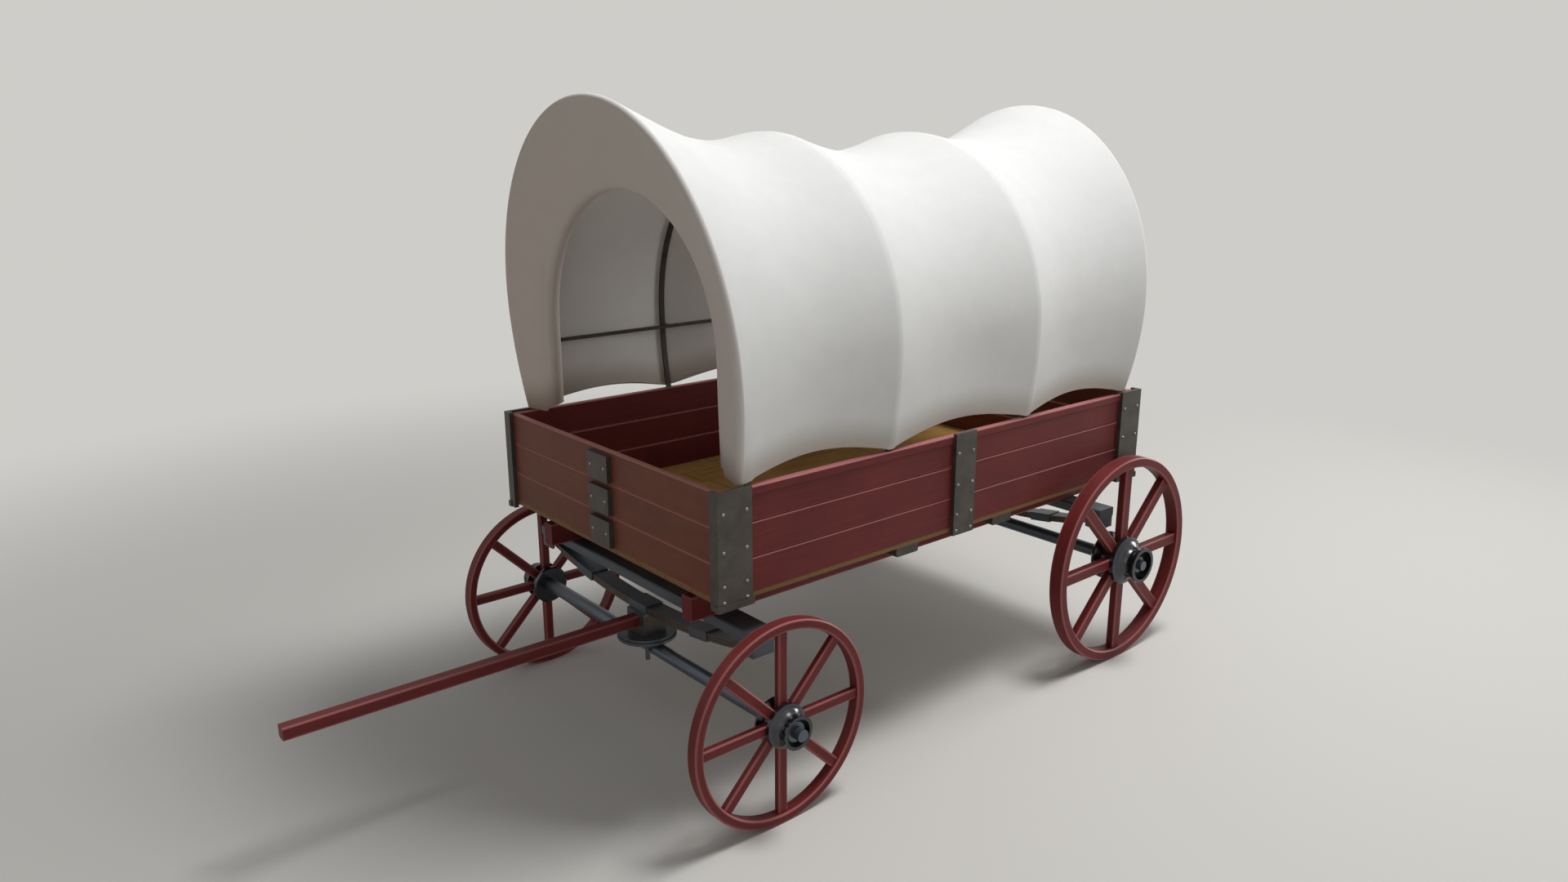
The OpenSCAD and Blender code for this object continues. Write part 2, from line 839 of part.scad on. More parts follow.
module hoop_front_end() { hoop(end_hoop_x, end_hoop_r, end_hoop_spring_h); }
module hoop_front_middle() { hoop(hoop_x, hoop_r, hoop_spring_h); }
module hoop_rear_middle() { hoop(-hoop_x, hoop_r, hoop_spring_h); }
module hoop_rear_end() { hoop(-end_hoop_x, end_hoop_r, end_hoop_spring_h); }

// Rods along the inner faces of the end hoops, with clips out to the middle hoops

// Half width inside a hoop at a height above the rail that lies on its legs
function inside_hoop(r, h, z) =
  let (leg = leg_r(r, h))
  r - leg + sqrt(pow(leg - hoop_t, 2) - pow(h - z, 2));

rod_gap = 0.6;
rod_l = 2 * end_hoop_x + hoop_w;
rod_out = inside_hoop(end_hoop_r, end_hoop_spring_h, rod_h - rod_w / 2) - rod_gap;
clip_out = inside_hoop(hoop_r, hoop_spring_h, rod_h - rod_w / 2) - rod_gap;

module side_rods() {
  color(dark_iron)
    for (m = [0, 1])
      mirror([0, m, 0])
        placed(0, 0, rail_z + rod_h - rod_w / 2) {
          translate([-rod_l / 2, rod_out - rod_w, 0]) cube([rod_l, rod_w, rod_w]);
          for (x = [-hoop_x, hoop_x])
            translate([x - hoop_w / 2, rod_out - rod_w, 0])
              cube([hoop_w, clip_out - rod_out + rod_w, rod_w]);
        }
}

// Cover: one sheet with thickness, drawn as rings from mouth to mouth

// Points round a quarter of a ring's arch, and down one of its legs
arch_n = 12;
leg_n = 6;
// Rings in each bay
bay_n = 8;
hem_gap = 12;

// The sheet lies clear of the flats between its own points
cover_gap = hoop_r * (1 - cos(45 / arch_n)) + turn_gap;
cover_spring = hoop_spring_h;
cover_a = hoop_r + cover_gap + cover_t;
cover_foot = hoop_half_w(hem_gap) + cover_gap + cover_t;

// Half width over the legs of a middle hoop at a height above the rail
function hoop_half_w(z) = hoop_r - (hoop_r - hoop_foot) * pow(1 - z / hoop_spring_h, 2);

// Growth of a bay's sag, nil at the edges of the hoop bars that the sheet lies flat on
bar_in_x = hoop_x - hoop_w / 2;
bar_out_x = hoop_x + hoop_w / 2;
function sag(t) = sin(180 * t);
sag_top = sag_share * 2 * bar_in_x;

// A ring: [x at the rail, lean, half width, arch height, half width at the hem, hem height]
function bay_ring(t) =
  [bar_in_x * (1 - 2 * t), 0,
   cover_a - sag_side * sag(t), cover_a - sag_top * sag(t),
   cover_foot - sag_side * sag(t) / 2, hem_gap + hem_rise * sag(t)];

// End bay from the hoop bar at t = 0 to the lip at t = 1
flare_power = 0.8;
lip_body_x = lip_x - lip_round;
end_sag_top = end_sag_share * (lip_body_x - bar_out_x);
function end_ring(t) =
  [bar_out_x + (lip_body_x - bar_out_x) * t, lip_lean * t * t,
   cover_a + (lip_half_w - cover_a) * t - sag_side * sag(t),
   cover_a + (lip_h - cover_a) * pow(t, flare_power) - end_sag_top * sag(t),
   cover_foot - sag_side * sag(t) / 2, hem_gap + hem_rise * sag(t)];

// Rings round the lip's edge, by the angle of the edge's normal, and the mouth
mouth_foot = mouth_half_w + mouth_lean / 2;
function lip_ring(angle) =
  [lip_body_x + lip_round * cos(angle), lip_lean,
   lip_half_w - lip_round * (1 - sin(angle)), lip_h - lip_round * (1 - sin(angle)),
   cover_foot - lip_round * (1 - sin(angle)), hem_gap];
function mouth_ring(t) =
  let (edge = lip_ring(0))
  [edge[0] - mouth_depth * t, lip_lean + (mouth_lean - lip_lean) * t,
   edge[2] + (mouth_half_w - edge[2]) * t, edge[3] + (mouth_h - edge[3]) * t,
   edge[4] + (mouth_foot - edge[4]) * t, hem_gap];

// Front half of the sheet as pairs of a ring and its normal's angle, from the middle out
lip_angles = [60, 30];
mouth_shares = [0, 0.33, 0.66, 1];
function front_half() = concat(
  [for (i = [0:bay_n]) [end_ring(i / bay_n), 90]],
  [for (a = lip_angles) [lip_ring(a), a]],
  [for (s = mouth_shares) [mouth_ring(s), 0]]
);
function reversed(list) = [for (i = [len(list) - 1:-1:0]) list[i]];
function turned(pair) =
  [[-pair[0][0], -pair[0][1], pair[0][2], pair[0][3], pair[0][4], pair[0][5]], 180 - pair[1]];
function sheet_pairs() = concat(
  reversed(front_half()),
  [for (i = [0:bay_n]) [bay_ring(i / bay_n), 90]],
  [for (p = front_half()) turned(p)]
);

// The ring on the lining, moved in against the normal
function lining(pair) =
  let (r = pair[0], dx = cover_t * cos(pair[1]), dr = cover_t * sin(pair[1]))
  [r[0] - dx, r[1], r[2] - dr, r[3] - dr, r[4] - dr, r[5]];

// Points of a ring from the right hem over the top to the left hem
lean_ref = cover_spring + lip_h;
function ring_point(r, y, z) = [r[0] + r[1] * z / lean_ref, y, rail_z + z];
function leg_point(r, u) =
  [r[2] - (r[2] - r[4]) * u * u, cover_spring - (cover_spring - r[5]) * u];
function half_ring(r) = concat(
  [for (i = [leg_n:-1:1]) leg_point(r, i / leg_n)],
  [for (i = [0:arch_n]) [r[2] * cos(90 * i / arch_n), cover_spring + r[3] * sin(90 * i / arch_n)]]
);
function ring_points(r) =
  let (h = half_ring(r), n = len(h))
  concat(
    [for (p = h) ring_point(r, -p[0], p[1])],
    [for (i = [n - 2:-1:0]) ring_point(r, h[i][0], h[i][1])]
  );

ring_n = 2 * (arch_n + leg_n) + 1;

module cover() {
  pairs = sheet_pairs();
  rows = len(pairs);
  skin = [for (p = pairs) each ring_points(p[0])];
  inside = [for (p = pairs) each ring_points(lining(p))];
  under = rows * ring_n;
  function at(row, k) = row * ring_n + k;
  faces = concat(
    [for (i = [0:rows - 2], k = [0:ring_n - 2], h = [0, 1])
      h == 0 ? [at(i, k), at(i, k + 1), at(i + 1, k + 1)]
             : [at(i, k), at(i + 1, k + 1), at(i + 1, k)]],
    [for (i = [0:rows - 2], k = [0:ring_n - 2], h = [0, 1])
      h == 0 ? [under + at(i, k), under + at(i + 1, k + 1), under + at(i, k + 1)]
             : [under + at(i, k), under + at(i + 1, k), under + at(i + 1, k + 1)]],
    [for (k = [0:ring_n - 2], h = [0, 1])
      h == 0 ? [at(0, k), under + at(0, k), under + at(0, k + 1)]
             : [at(0, k), under + at(0, k + 1), at(0, k + 1)]],
    [for (k = [0:ring_n - 2], h = [0, 1])
      h == 0 ? [at(rows - 1, k), under + at(rows - 1, k + 1), under + at(rows - 1, k)]
             : [at(rows - 1, k), at(rows - 1, k + 1), under + at(rows - 1, k + 1)]],
    [for (i = [0:rows - 2], h = [0, 1])
      h == 0 ? [at(i, 0), at(i + 1, 0), under + at(i + 1, 0)]
             : [at(i, 0), under + at(i + 1, 0), under + at(i, 0)]],
    [for (i = [0:rows - 2], h = [0, 1])
      h == 0 ? [at(i, ring_n - 1), under + at(i + 1, ring_n - 1), at(i + 1, ring_n - 1)]
             : [at(i, ring_n - 1), under + at(i, ring_n - 1), under + at(i + 1, ring_n - 1)]]
  );
  color(canvas)
    placed() polyhedron(concat(skin, inside), faces, convexity = 6);
}

floor_boards();
side_left();
side_right();
front_panel();
rear_panel();
panel_plates();
iron_front_left();
iron_front_right();
iron_rear_left();
iron_rear_right();
iron_mid_left();
iron_mid_right();
sill_left();
sill_right();
cross_members();
bolster_front();
bolster_rear();
hoop_front_end();
hoop_front_middle();
hoop_rear_middle();
hoop_rear_end();
side_rods();
cover();
spring_front_leaves();
spring_front_bands();
spring_front_hangers();
spring_front_saddle();
spring_rear_leaves();
spring_rear_bands();
spring_rear_hangers();
spring_rear_seat();
kingpin();
axle_rear();
axle_rear_nuts();
axle_front();
axle_front_nuts();
turntable_lower();
turntable_upper();
pole_block();
pole();
rim_front_left();
spokes_front_left();
hub_front_left();
rim_front_right();
spokes_front_right();
hub_front_right();
rim_rear_left();
spokes_rear_left();
hub_rear_left();
rim_rear_right();
spokes_rear_right();
hub_rear_right();
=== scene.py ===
"""Covered wagon: canvas cover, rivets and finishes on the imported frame, in metres."""

import math

import bmesh
import bpy
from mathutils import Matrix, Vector, noise


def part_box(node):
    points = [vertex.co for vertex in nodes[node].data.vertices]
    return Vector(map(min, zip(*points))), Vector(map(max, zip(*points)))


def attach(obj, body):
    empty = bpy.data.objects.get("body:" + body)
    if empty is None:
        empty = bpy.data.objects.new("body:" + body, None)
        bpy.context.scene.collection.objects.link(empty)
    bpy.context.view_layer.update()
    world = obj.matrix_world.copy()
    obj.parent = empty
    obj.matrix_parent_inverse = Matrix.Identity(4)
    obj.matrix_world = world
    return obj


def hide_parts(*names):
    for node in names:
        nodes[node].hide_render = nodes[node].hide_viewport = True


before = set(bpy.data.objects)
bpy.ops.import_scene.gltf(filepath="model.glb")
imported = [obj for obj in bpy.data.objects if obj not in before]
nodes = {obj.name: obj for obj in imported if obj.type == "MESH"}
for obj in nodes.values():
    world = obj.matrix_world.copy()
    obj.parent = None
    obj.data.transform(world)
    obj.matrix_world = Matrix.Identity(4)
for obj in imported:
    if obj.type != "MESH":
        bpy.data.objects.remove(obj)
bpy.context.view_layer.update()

# Places read from the frame
floor_low, floor_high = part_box("floor_boards")
side_low, side_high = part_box("side_left")
end_hoop_low, end_hoop_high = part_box("hoop_front_end")
BOX_X = (floor_low.x + floor_high.x) / 2
RAIL_Z = side_high.z
PLANK_Z = side_low.z
END_HOOP_X = (end_hoop_low.x + end_hoop_high.x) / 2 - BOX_X

# Planks of the box and boards of its floor
PLANK_PITCH = 0.160
PLANK_SEAM = 0.004
BOARDS = 9
BOARD_GAP = 0.003
BOARD_PITCH = (floor_high.y - floor_low.y + BOARD_GAP) / BOARDS

# Wheels: spokes in each, depth of the rims and width of the spokes
SPOKES = 8
RIM_T = {"front": 0.044, "rear": 0.054}
SPOKE_W = {"front": 0.050, "rear": 0.062}

# Cross springs: leaves bent to arcs, with their pitch and count, the sag of the main leaf, and
# the place of its hangers from the ends of the bolster
LEAF_PITCH = 0.0125
LEAVES = 3
SPRING_SAG = 0.096
HANGER_IN = 0.070


# Helpers for colours, nodes and meshes


def linear(hex_colour):
    """An sRGB hex colour as linear RGBA."""
    channels = [int(hex_colour[i:i + 2], 16) / 255 for i in (1, 3, 5)]
    return [c / 12.92 if c <= 0.04045 else ((c + 0.055) / 1.055) ** 2.4 for c in channels] + [1.0]


def add(material, kind, inputs=None, **settings):
    """Adds a node with its settings; an input is a value or the socket that feeds it."""
    node = material.node_tree.nodes.new(kind)
    for name, value in settings.items():
        setattr(node, name, value)
    for name, value in (inputs or {}).items():
        if isinstance(value, bpy.types.NodeSocket):
            material.node_tree.links.new(value, node.inputs[name])
        else:
            node.inputs[name].default_value = value
    return node


def new_material(name):
    """An empty material and its principled shader."""
    material = bpy.data.materials.new(name)
    material.use_nodes = True
    return material, material.node_tree.nodes["Principled BSDF"]


def feed(material, shader, **sockets):
    """Links or sets the shader's sockets, named with _ for a space."""
    for name, value in sockets.items():
        socket = shader.inputs[name.replace("_", " ").title().replace("Ior", "IOR")]
        if isinstance(value, bpy.types.NodeSocket):
            material.node_tree.links.new(value, socket)
        else:
            socket.default_value = value


def dress(names, material):
    """Gives CAD nodes a finish."""
    for name in names:
        mesh = nodes[name].data
        mesh.materials.clear()
        mesh.materials.append(material)


def piece(name, mesh_builder, material, body):
    """A new smooth-shaded mesh object that rides on a body."""
    mesh = bpy.data.meshes.new(name)
    mesh_builder.to_mesh(mesh)
    mesh_builder.free()
    mesh.polygons.foreach_set("use_smooth", [True] * len(mesh.polygons))
    mesh.materials.append(material)
    made = bpy.data.objects.new(name, mesh)
    bpy.context.scene.collection.objects.link(made)
    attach(made, body)
    return made


# Places on a surface that the finishes follow

# Width of the grain, and how much longer than wide a streak is
GRAIN_W = 0.007
GRAIN_STRETCH = 45


def wheel_pair(end):
    """The centre between two like wheels, the sizes of their sections, and where these lie."""
    hub_low, hub_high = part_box(f"hub_{end}_left")
    return {"centre": ((hub_low.x + hub_high.x) / 2, 0, (hub_low.z + hub_high.z) / 2),
            "rim_t": RIM_T[end], "spoke_w": SPOKE_W[end],
            "rim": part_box(f"rim_{end}_left"), "spokes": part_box(f"spokes_{end}_left")}


def wheel_place(material, centre):
    """Distance from a wheel's axle, turn about it, and place along it."""
    place = add(material, "ShaderNodeTexCoord").outputs["Object"]
    shifted = add(material, "ShaderNodeVectorMath", {0: place, 1: centre}, operation="SUBTRACT").outputs[0]
    parts = add(material, "ShaderNodeSeparateXYZ", {0: shifted})
    flat = add(material, "ShaderNodeVectorMath", {0: shifted, 1: (1, 0, 1)}, operation="MULTIPLY").outputs[0]
    radius = add(material, "ShaderNodeVectorMath", {0: flat}, operation="LENGTH").outputs["Value"]
    turn = add(material, "ShaderNodeMath", {0: parts.outputs["Z"], 1: parts.outputs["X"]},
               operation="ARCTAN2").outputs[0]
    return radius, turn, parts.outputs["Y"]


def grain_vector(material, layout, centre=None):
    """Coordinates in grain widths, stretched along the fibres: along x or y, or radial or in
    rings about a wheel's centre."""
    across = 1 / GRAIN_W
    along = across / GRAIN_STRETCH
    if layout in "xy":
        place = add(material, "ShaderNodeTexCoord").outputs["Object"]
        scale = (along, across, across) if layout == "x" else (across, along, across)
        return add(material, "ShaderNodeMapping", {"Vector": place, "Scale": scale}).outputs[0]
    radius, turn, run = wheel_place(material, centre)
    bent = add(material, "ShaderNodeCombineXYZ", {"X": radius, "Y": turn, "Z": run}).outputs[0]
    wheel_r = centre[2]
    scale = (along, across * wheel_r / 2, across) if layout == "radial" else (across, along * wheel_r, across)
    return add(material, "ShaderNodeVectorMath", {0: bent, 1: scale}, operation="MULTIPLY").outputs[0]


def gap_to(material, value, place):
    """How far a value is from a place."""
    off = add(material, "ShaderNodeMath", {0: value, 1: place}, operation="SUBTRACT").outputs[0]
    return add(material, "ShaderNodeMath", {0: off}, operation="ABSOLUTE").outputs[0]


def wheel_gap(material, layout, wheel):
    """Distance from the corners of a wheel's rim, or of its spokes, seen in section."""
    rim_low, rim_high = wheel["rim"]
    spoke_low, spoke_high = wheel["spokes"]
    wheel_r = wheel["centre"][2]
    radius, turn, run = wheel_place(material, wheel["centre"])
    aside = add(material, "ShaderNodeMath", {0: run}, operation="ABSOLUTE").outputs[0]
    off_middle = gap_to(material, aside, (rim_low.y + rim_high.y) / 2)
    if layout == "ring":
        outer = gap_to(material, radius, wheel_r)
        inner = gap_to(material, radius, wheel_r - wheel["rim_t"])
        first = add(material, "ShaderNodeMath", {0: outer, 1: inner}, operation="MINIMUM").outputs[0]
        second = gap_to(material, off_middle, (rim_high.y - rim_low.y) / 2)
    else:
        swing = add(material, "ShaderNodeMath", {0: turn, 1: math.pi / SPOKES},
                    operation="PINGPONG").outputs[0]
        sine = add(material, "ShaderNodeMath", {0: swing}, operation="SINE").outputs[0]
        across = add(material, "ShaderNodeMath", {0: sine, 1: radius}, operation="MULTIPLY").outputs[0]
        first = gap_to(material, across, wheel["spoke_w"] / 2)
        second = gap_to(material, off_middle, (spoke_high.y - spoke_low.y) / 2)
    return add(material, "ShaderNodeMath", {0: first, 1: second}, operation="MAXIMUM").outputs[0]


def beam_gap(material, low, high):
    """Distance from the long arrises of a beam along x, and of its twin on the other side."""
    place = add(material, "ShaderNodeTexCoord").outputs["Object"]
    parts = add(material, "ShaderNodeSeparateXYZ", {0: place})
    aside = add(material, "ShaderNodeMath", {0: parts.outputs["Y"]}, operation="ABSOLUTE").outputs[0]
    gaps = []
    for value, places in ((aside, (low.y, high.y)), (parts.outputs["Z"], (low.z, high.z))):
        near, far = (gap_to(material, value, edge) for edge in places)
        gaps.append(add(material, "ShaderNodeMath", {0: near, 1: far}, operation="MINIMUM").outputs[0])
    return add(material, "ShaderNodeMath", {0: gaps[0], 1: gaps[1]}, operation="MAXIMUM").outputs[0]


def facing_part(material, axis):
    """One part of the direction that the flat face looks in."""
    facing = add(material, "ShaderNodeNewGeometry").outputs["True Normal"]
    return add(material, "ShaderNodeSeparateXYZ", {0: facing}).outputs[axis]


# Wood

# Deep coat, thin coat, bare streaks, dark fibres, and the paler pink of seams and arrises: a painted
# highlight with worn paint
RED_TONES = ("#571719", "#762927", "#874039", "#3a1011", "#b06a6a")
# The end panels take the side's red made browner: painted warm light that the ends catch
WARM_LIT_RED_TONES = ("#623223", "#7d4833", "#8f5f45", "#3f1d12", "#c08a76")
# Paler red painted on faces that look up: a painted highlight
RED_TOP_HIGHLIGHT = "#b87274"
# Darkest and palest board, dark fibres, butt joints, and the painted shade of faces that don't look up
PINE_TONES = ("#c99a50", "#e0bf8a", "#80572a", "#2f1d0c", "#76562a")
# Size of a patch of thinner paint
PAINT_PATCH = 0.25
# Distances from a seam or an arris at which the paler pink, a painted highlight with worn paint, starts and
# is full
SEAM_HIGHLIGHT = (0.008, 0.004)
ARRIS_HIGHLIGHT = (0.011, 0.004)
# Length of the floor boards, and half widths of the soft and the black part of a butt joint
BOARD_L = 1.1
BUTT_LINE = (0.003, 0.0015)


def painted_pine(name, layout, seams=False, tones=RED_TONES, wheel=None, beam=None):
    """Sawn softwood under one coat of oxide red: the grain shows through as fine streaks. The seams
    and arrises of planks, wheels and beams are painted a paler pink, a painted highlight with worn
    paint, and with seams the faces that look up are painted paler as a painted highlight."""
    deep, coat, bare, fibre, lit_edge_tone = tones
    material, shader = new_material(name)
    grain = grain_vector(material, layout, wheel and wheel["centre"])
    streak = add(material, "ShaderNodeTexNoise",
                 {"Vector": grain, "Scale": 1.0, "Detail": 5.0, "Roughness": 0.62}).outputs["Fac"]
    place = add(material, "ShaderNodeTexCoord").outputs["Object"]
    patch = add(material, "ShaderNodeTexNoise",
                {"Vector": place, "Scale": 1 / PAINT_PATCH, "Detail": 3.0}).outputs["Fac"]
    paint = add(material, "ShaderNodeMix", {0: patch, 6: linear(deep), 7: linear(coat)},
                data_type="RGBA").outputs[2]
    thin = add(material, "ShaderNodeMapRange",
               {"Value": streak, "From Min": 0.52, "From Max": 0.74, "To Max": 0.32}).outputs[0]
    paint = add(material, "ShaderNodeMix", {0: thin, 6: paint, 7: linear(bare)}, data_type="RGBA").outputs[2]
    dark = add(material, "ShaderNodeMapRange",
               {"Value": streak, "From Min": 0.46, "From Max": 0.28, "To Max": 0.42}).outputs[0]
    paint = add(material, "ShaderNodeMix", {0: dark, 6: paint, 7: linear(fibre)}, data_type="RGBA").outputs[2]
    if seams:
        # A thin paler line along each plank seam: a painted highlight, with worn paint
        height = add(material, "ShaderNodeSeparateXYZ", {0: place}).outputs["Z"]
        off = add(material, "ShaderNodeMath", {0: height, 1: PLANK_Z - PLANK_SEAM / 2},
                  operation="SUBTRACT").outputs[0]
        gap = add(material, "ShaderNodeMath", {0: off, 1: PLANK_PITCH / 2}, operation="PINGPONG").outputs[0]
        seam = add(material, "ShaderNodeMapRange", {"Value": gap, "From Min": SEAM_HIGHLIGHT[0],
                                                    "From Max": SEAM_HIGHLIGHT[1], "To Max": 0.85}).outputs[0]
        paint = add(material, "ShaderNodeMix", {0: seam, 6: paint, 7: linear(lit_edge_tone)},
                    data_type="RGBA").outputs[2]
        # Faces that look up are painted paler red: a painted highlight from the light above
        top = add(material, "ShaderNodeMapRange", {"Value": facing_part(material, "Z"), "From Min": 0.5,
                                                   "From Max": 0.9, "To Max": 0.6}).outputs[0]
        paint = add(material, "ShaderNodeMix", {0: top, 6: paint, 7: linear(RED_TOP_HIGHLIGHT)},
                    data_type="RGBA").outputs[2]
    if wheel or beam:
        # Paler pink along the arrises of wheels and beams: a painted highlight, with worn paint
        gap = wheel_gap(material, layout, wheel) if wheel else beam_gap(material, *beam)
        arris_highlight = add(material, "ShaderNodeMapRange", {"Value": gap, "From Min": ARRIS_HIGHLIGHT[0],
                                                   "From Max": ARRIS_HIGHLIGHT[1], "To Max": 0.7}).outputs[0]
        paint = add(material, "ShaderNodeMix", {0: arris_highlight, 6: paint, 7: linear(lit_edge_tone)},
                    data_type="RGBA").outputs[2]
    rough = add(material, "ShaderNodeMapRange", {"Value": streak, "To Min": 0.40, "To Max": 0.66}).outputs[0]
    relief = add(material, "ShaderNodeBump",
                 {"Height": streak, "Strength": 0.35, "Distance": 0.0012}).outputs[0]
    feed(material, shader, base_color=paint, roughness=rough, normal=relief, specular_ior_level=0.28)
    return material


def bare_pine(name):
    """Bare planed floor boards, ochre with age: each board has its own tone, with dark butt
    joints and long fibres, and what isn't its top is painted a darker grey brown as painted shade."""
    ochre, pale, fibre, butt, side_shade_tone = PINE_TONES
    material, shader = new_material(name)
    streak = add(material, "ShaderNodeTexNoise",
                 {"Vector": grain_vector(material, "x"), "Scale": 1.0, "Detail": 6.0,
                  "Roughness": 0.6}).outputs["Fac"]
    place = add(material, "ShaderNodeTexCoord").outputs["Object"]
    parts = add(material, "ShaderNodeSeparateXYZ", {0: place})
    count = add(material, "ShaderNodeMath", {0: parts.outputs["Y"], 1: BOARD_PITCH},
                operation="DIVIDE").outputs[0]
    shift = add(material, "ShaderNodeMath", {0: count, 1: 0.5}, operation="ADD").outputs[0]
    board = add(material, "ShaderNodeMath", {0: shift}, operation="FLOOR").outputs[0]
    tone = add(material, "ShaderNodeTexWhiteNoise", {"W": board}, noise_dimensions="1D").outputs["Value"]
    wood = add(material, "ShaderNodeMix", {0: tone, 6: linear(ochre), 7: linear(pale)},
               data_type="RGBA").outputs[2]
    dark = add(material, "ShaderNodeMapRange",
               {"Value": streak, "From Min": 0.50, "From Max": 0.30, "To Max": 0.7}).outputs[0]
    wood = add(material, "ShaderNodeMix", {0: dark, 6: wood, 7: linear(fibre)}, data_type="RGBA").outputs[2]
    # Each board's butt joints are set off from its neighbour's
    offset = add(material, "ShaderNodeMath", {0: tone, 1: BOARD_L}, operation="MULTIPLY").outputs[0]
    run = add(material, "ShaderNodeMath", {0: parts.outputs["X"], 1: offset}, operation="ADD").outputs[0]
    joint = add(material, "ShaderNodeMath", {0: run, 1: BOARD_L / 2}, operation="PINGPONG").outputs[0]
    line = add(material, "ShaderNodeMapRange",
               {"Value": joint, "From Min": BUTT_LINE[0], "From Max": BUTT_LINE[1]}).outputs[0]
    wood = add(material, "ShaderNodeMix", {0: line, 6: wood, 7: linear(butt)}, data_type="RGBA").outputs[2]
    # Faces that don't look up are painted darker: painted shade
    side_shade = add(material, "ShaderNodeMapRange",
               {"Value": facing_part(material, "Z"), "From Min": 0.9, "From Max": 0.5}).outputs[0]
    wood = add(material, "ShaderNodeMix", {0: side_shade, 6: wood, 7: linear(side_shade_tone)}, data_type="RGBA").outputs[2]
    relief = add(material, "ShaderNodeBump",
                 {"Height": streak, "Strength": 0.4, "Distance": 0.001}).outputs[0]
    feed(material, shader, base_color=wood, roughness=0.62, normal=relief)
    return material


# Iron and steel

# Sizes of a cloud of scale and of a speck of grit on blacked iron
SCALE_CLOUD = 0.080
IRON_GRIT = 0.003
RUST = "#5f5044"
# Half widths of the soft and the black part of the line between two spring leaves
LEAF_LINE = (0.0028, 0.0016)
# Darkest and palest steel of a leaf, the dull brown painted light on its edges, and the joint
LEAF_TONES = ("#464d55", "#68717a", "#6e6154", "#101113")
# Darkest and palest steel of a hub
HUB_TONES = ("#3b3c3f", "#5c5e62")


def forged_iron(name, dark="#443f3b", pale="#59544d", metallic=0.45, gloss=0.48):
    """Flat iron rolled and blacked: smooth and dull, with soft clouds of scale and a little
    brown rust in them."""
    material, shader = new_material(name)
    place = add(material, "ShaderNodeTexCoord").outputs["Object"]
    clouds = add(material, "ShaderNodeTexNoise", {"Vector": place, "Scale": 1 / SCALE_CLOUD, "Detail": 5.0,
                                                  "Roughness": 0.6}).outputs["Fac"]
    grit = add(material, "ShaderNodeTexNoise",
               {"Vector": place, "Scale": 1 / IRON_GRIT, "Detail": 2.0}).outputs["Fac"]
    tone = add(material, "ShaderNodeMapRange",
               {"Value": clouds, "From Min": 0.30, "From Max": 0.72}).outputs[0]
    iron = add(material, "ShaderNodeMix", {0: tone, 6: linear(dark), 7: linear(pale)},
               data_type="RGBA").outputs[2]
    rust = add(material, "ShaderNodeMapRange",
               {"Value": clouds, "From Min": 0.56, "From Max": 0.74, "To Max": 0.35}).outputs[0]
    iron = add(material, "ShaderNodeMix", {0: rust, 6: iron, 7: linear(RUST)}, data_type="RGBA").outputs[2]
    rough = add(material, "ShaderNodeMapRange",
                {"Value": clouds, "To Min": gloss - 0.12, "To Max": gloss + 0.12}).outputs[0]
    relief = add(material, "ShaderNodeBump",
                 {"Height": grit, "Strength": 0.18, "Distance": 0.0008}).outputs[0]
    feed(material, shader, base_color=iron, metallic=metallic, roughness=rough, normal=relief)
    return material


def drawn_steel(name, dark="#4b535b", pale="#727b84", metallic=0.75):
    """Rolled and drawn steel, blue grey under a thin coat of scale: fine marks along the bar and
    a soft shine."""
    material, shader = new_material(name)
    marks = add(material, "ShaderNodeTexNoise",
                {"Vector": grain_vector(material, "y"), "Scale": 1.0, "Detail": 4.0}).outputs["Fac"]
    steel = add(material, "ShaderNodeMix", {0: marks, 6: linear(dark), 7: linear(pale)},
                data_type="RGBA").outputs[2]
    rough = add(material, "ShaderNodeMapRange", {"Value": marks, "To Min": 0.28, "To Max": 0.48}).outputs[0]
    feed(material, shader, base_color=steel, metallic=metallic, roughness=rough)
    return material


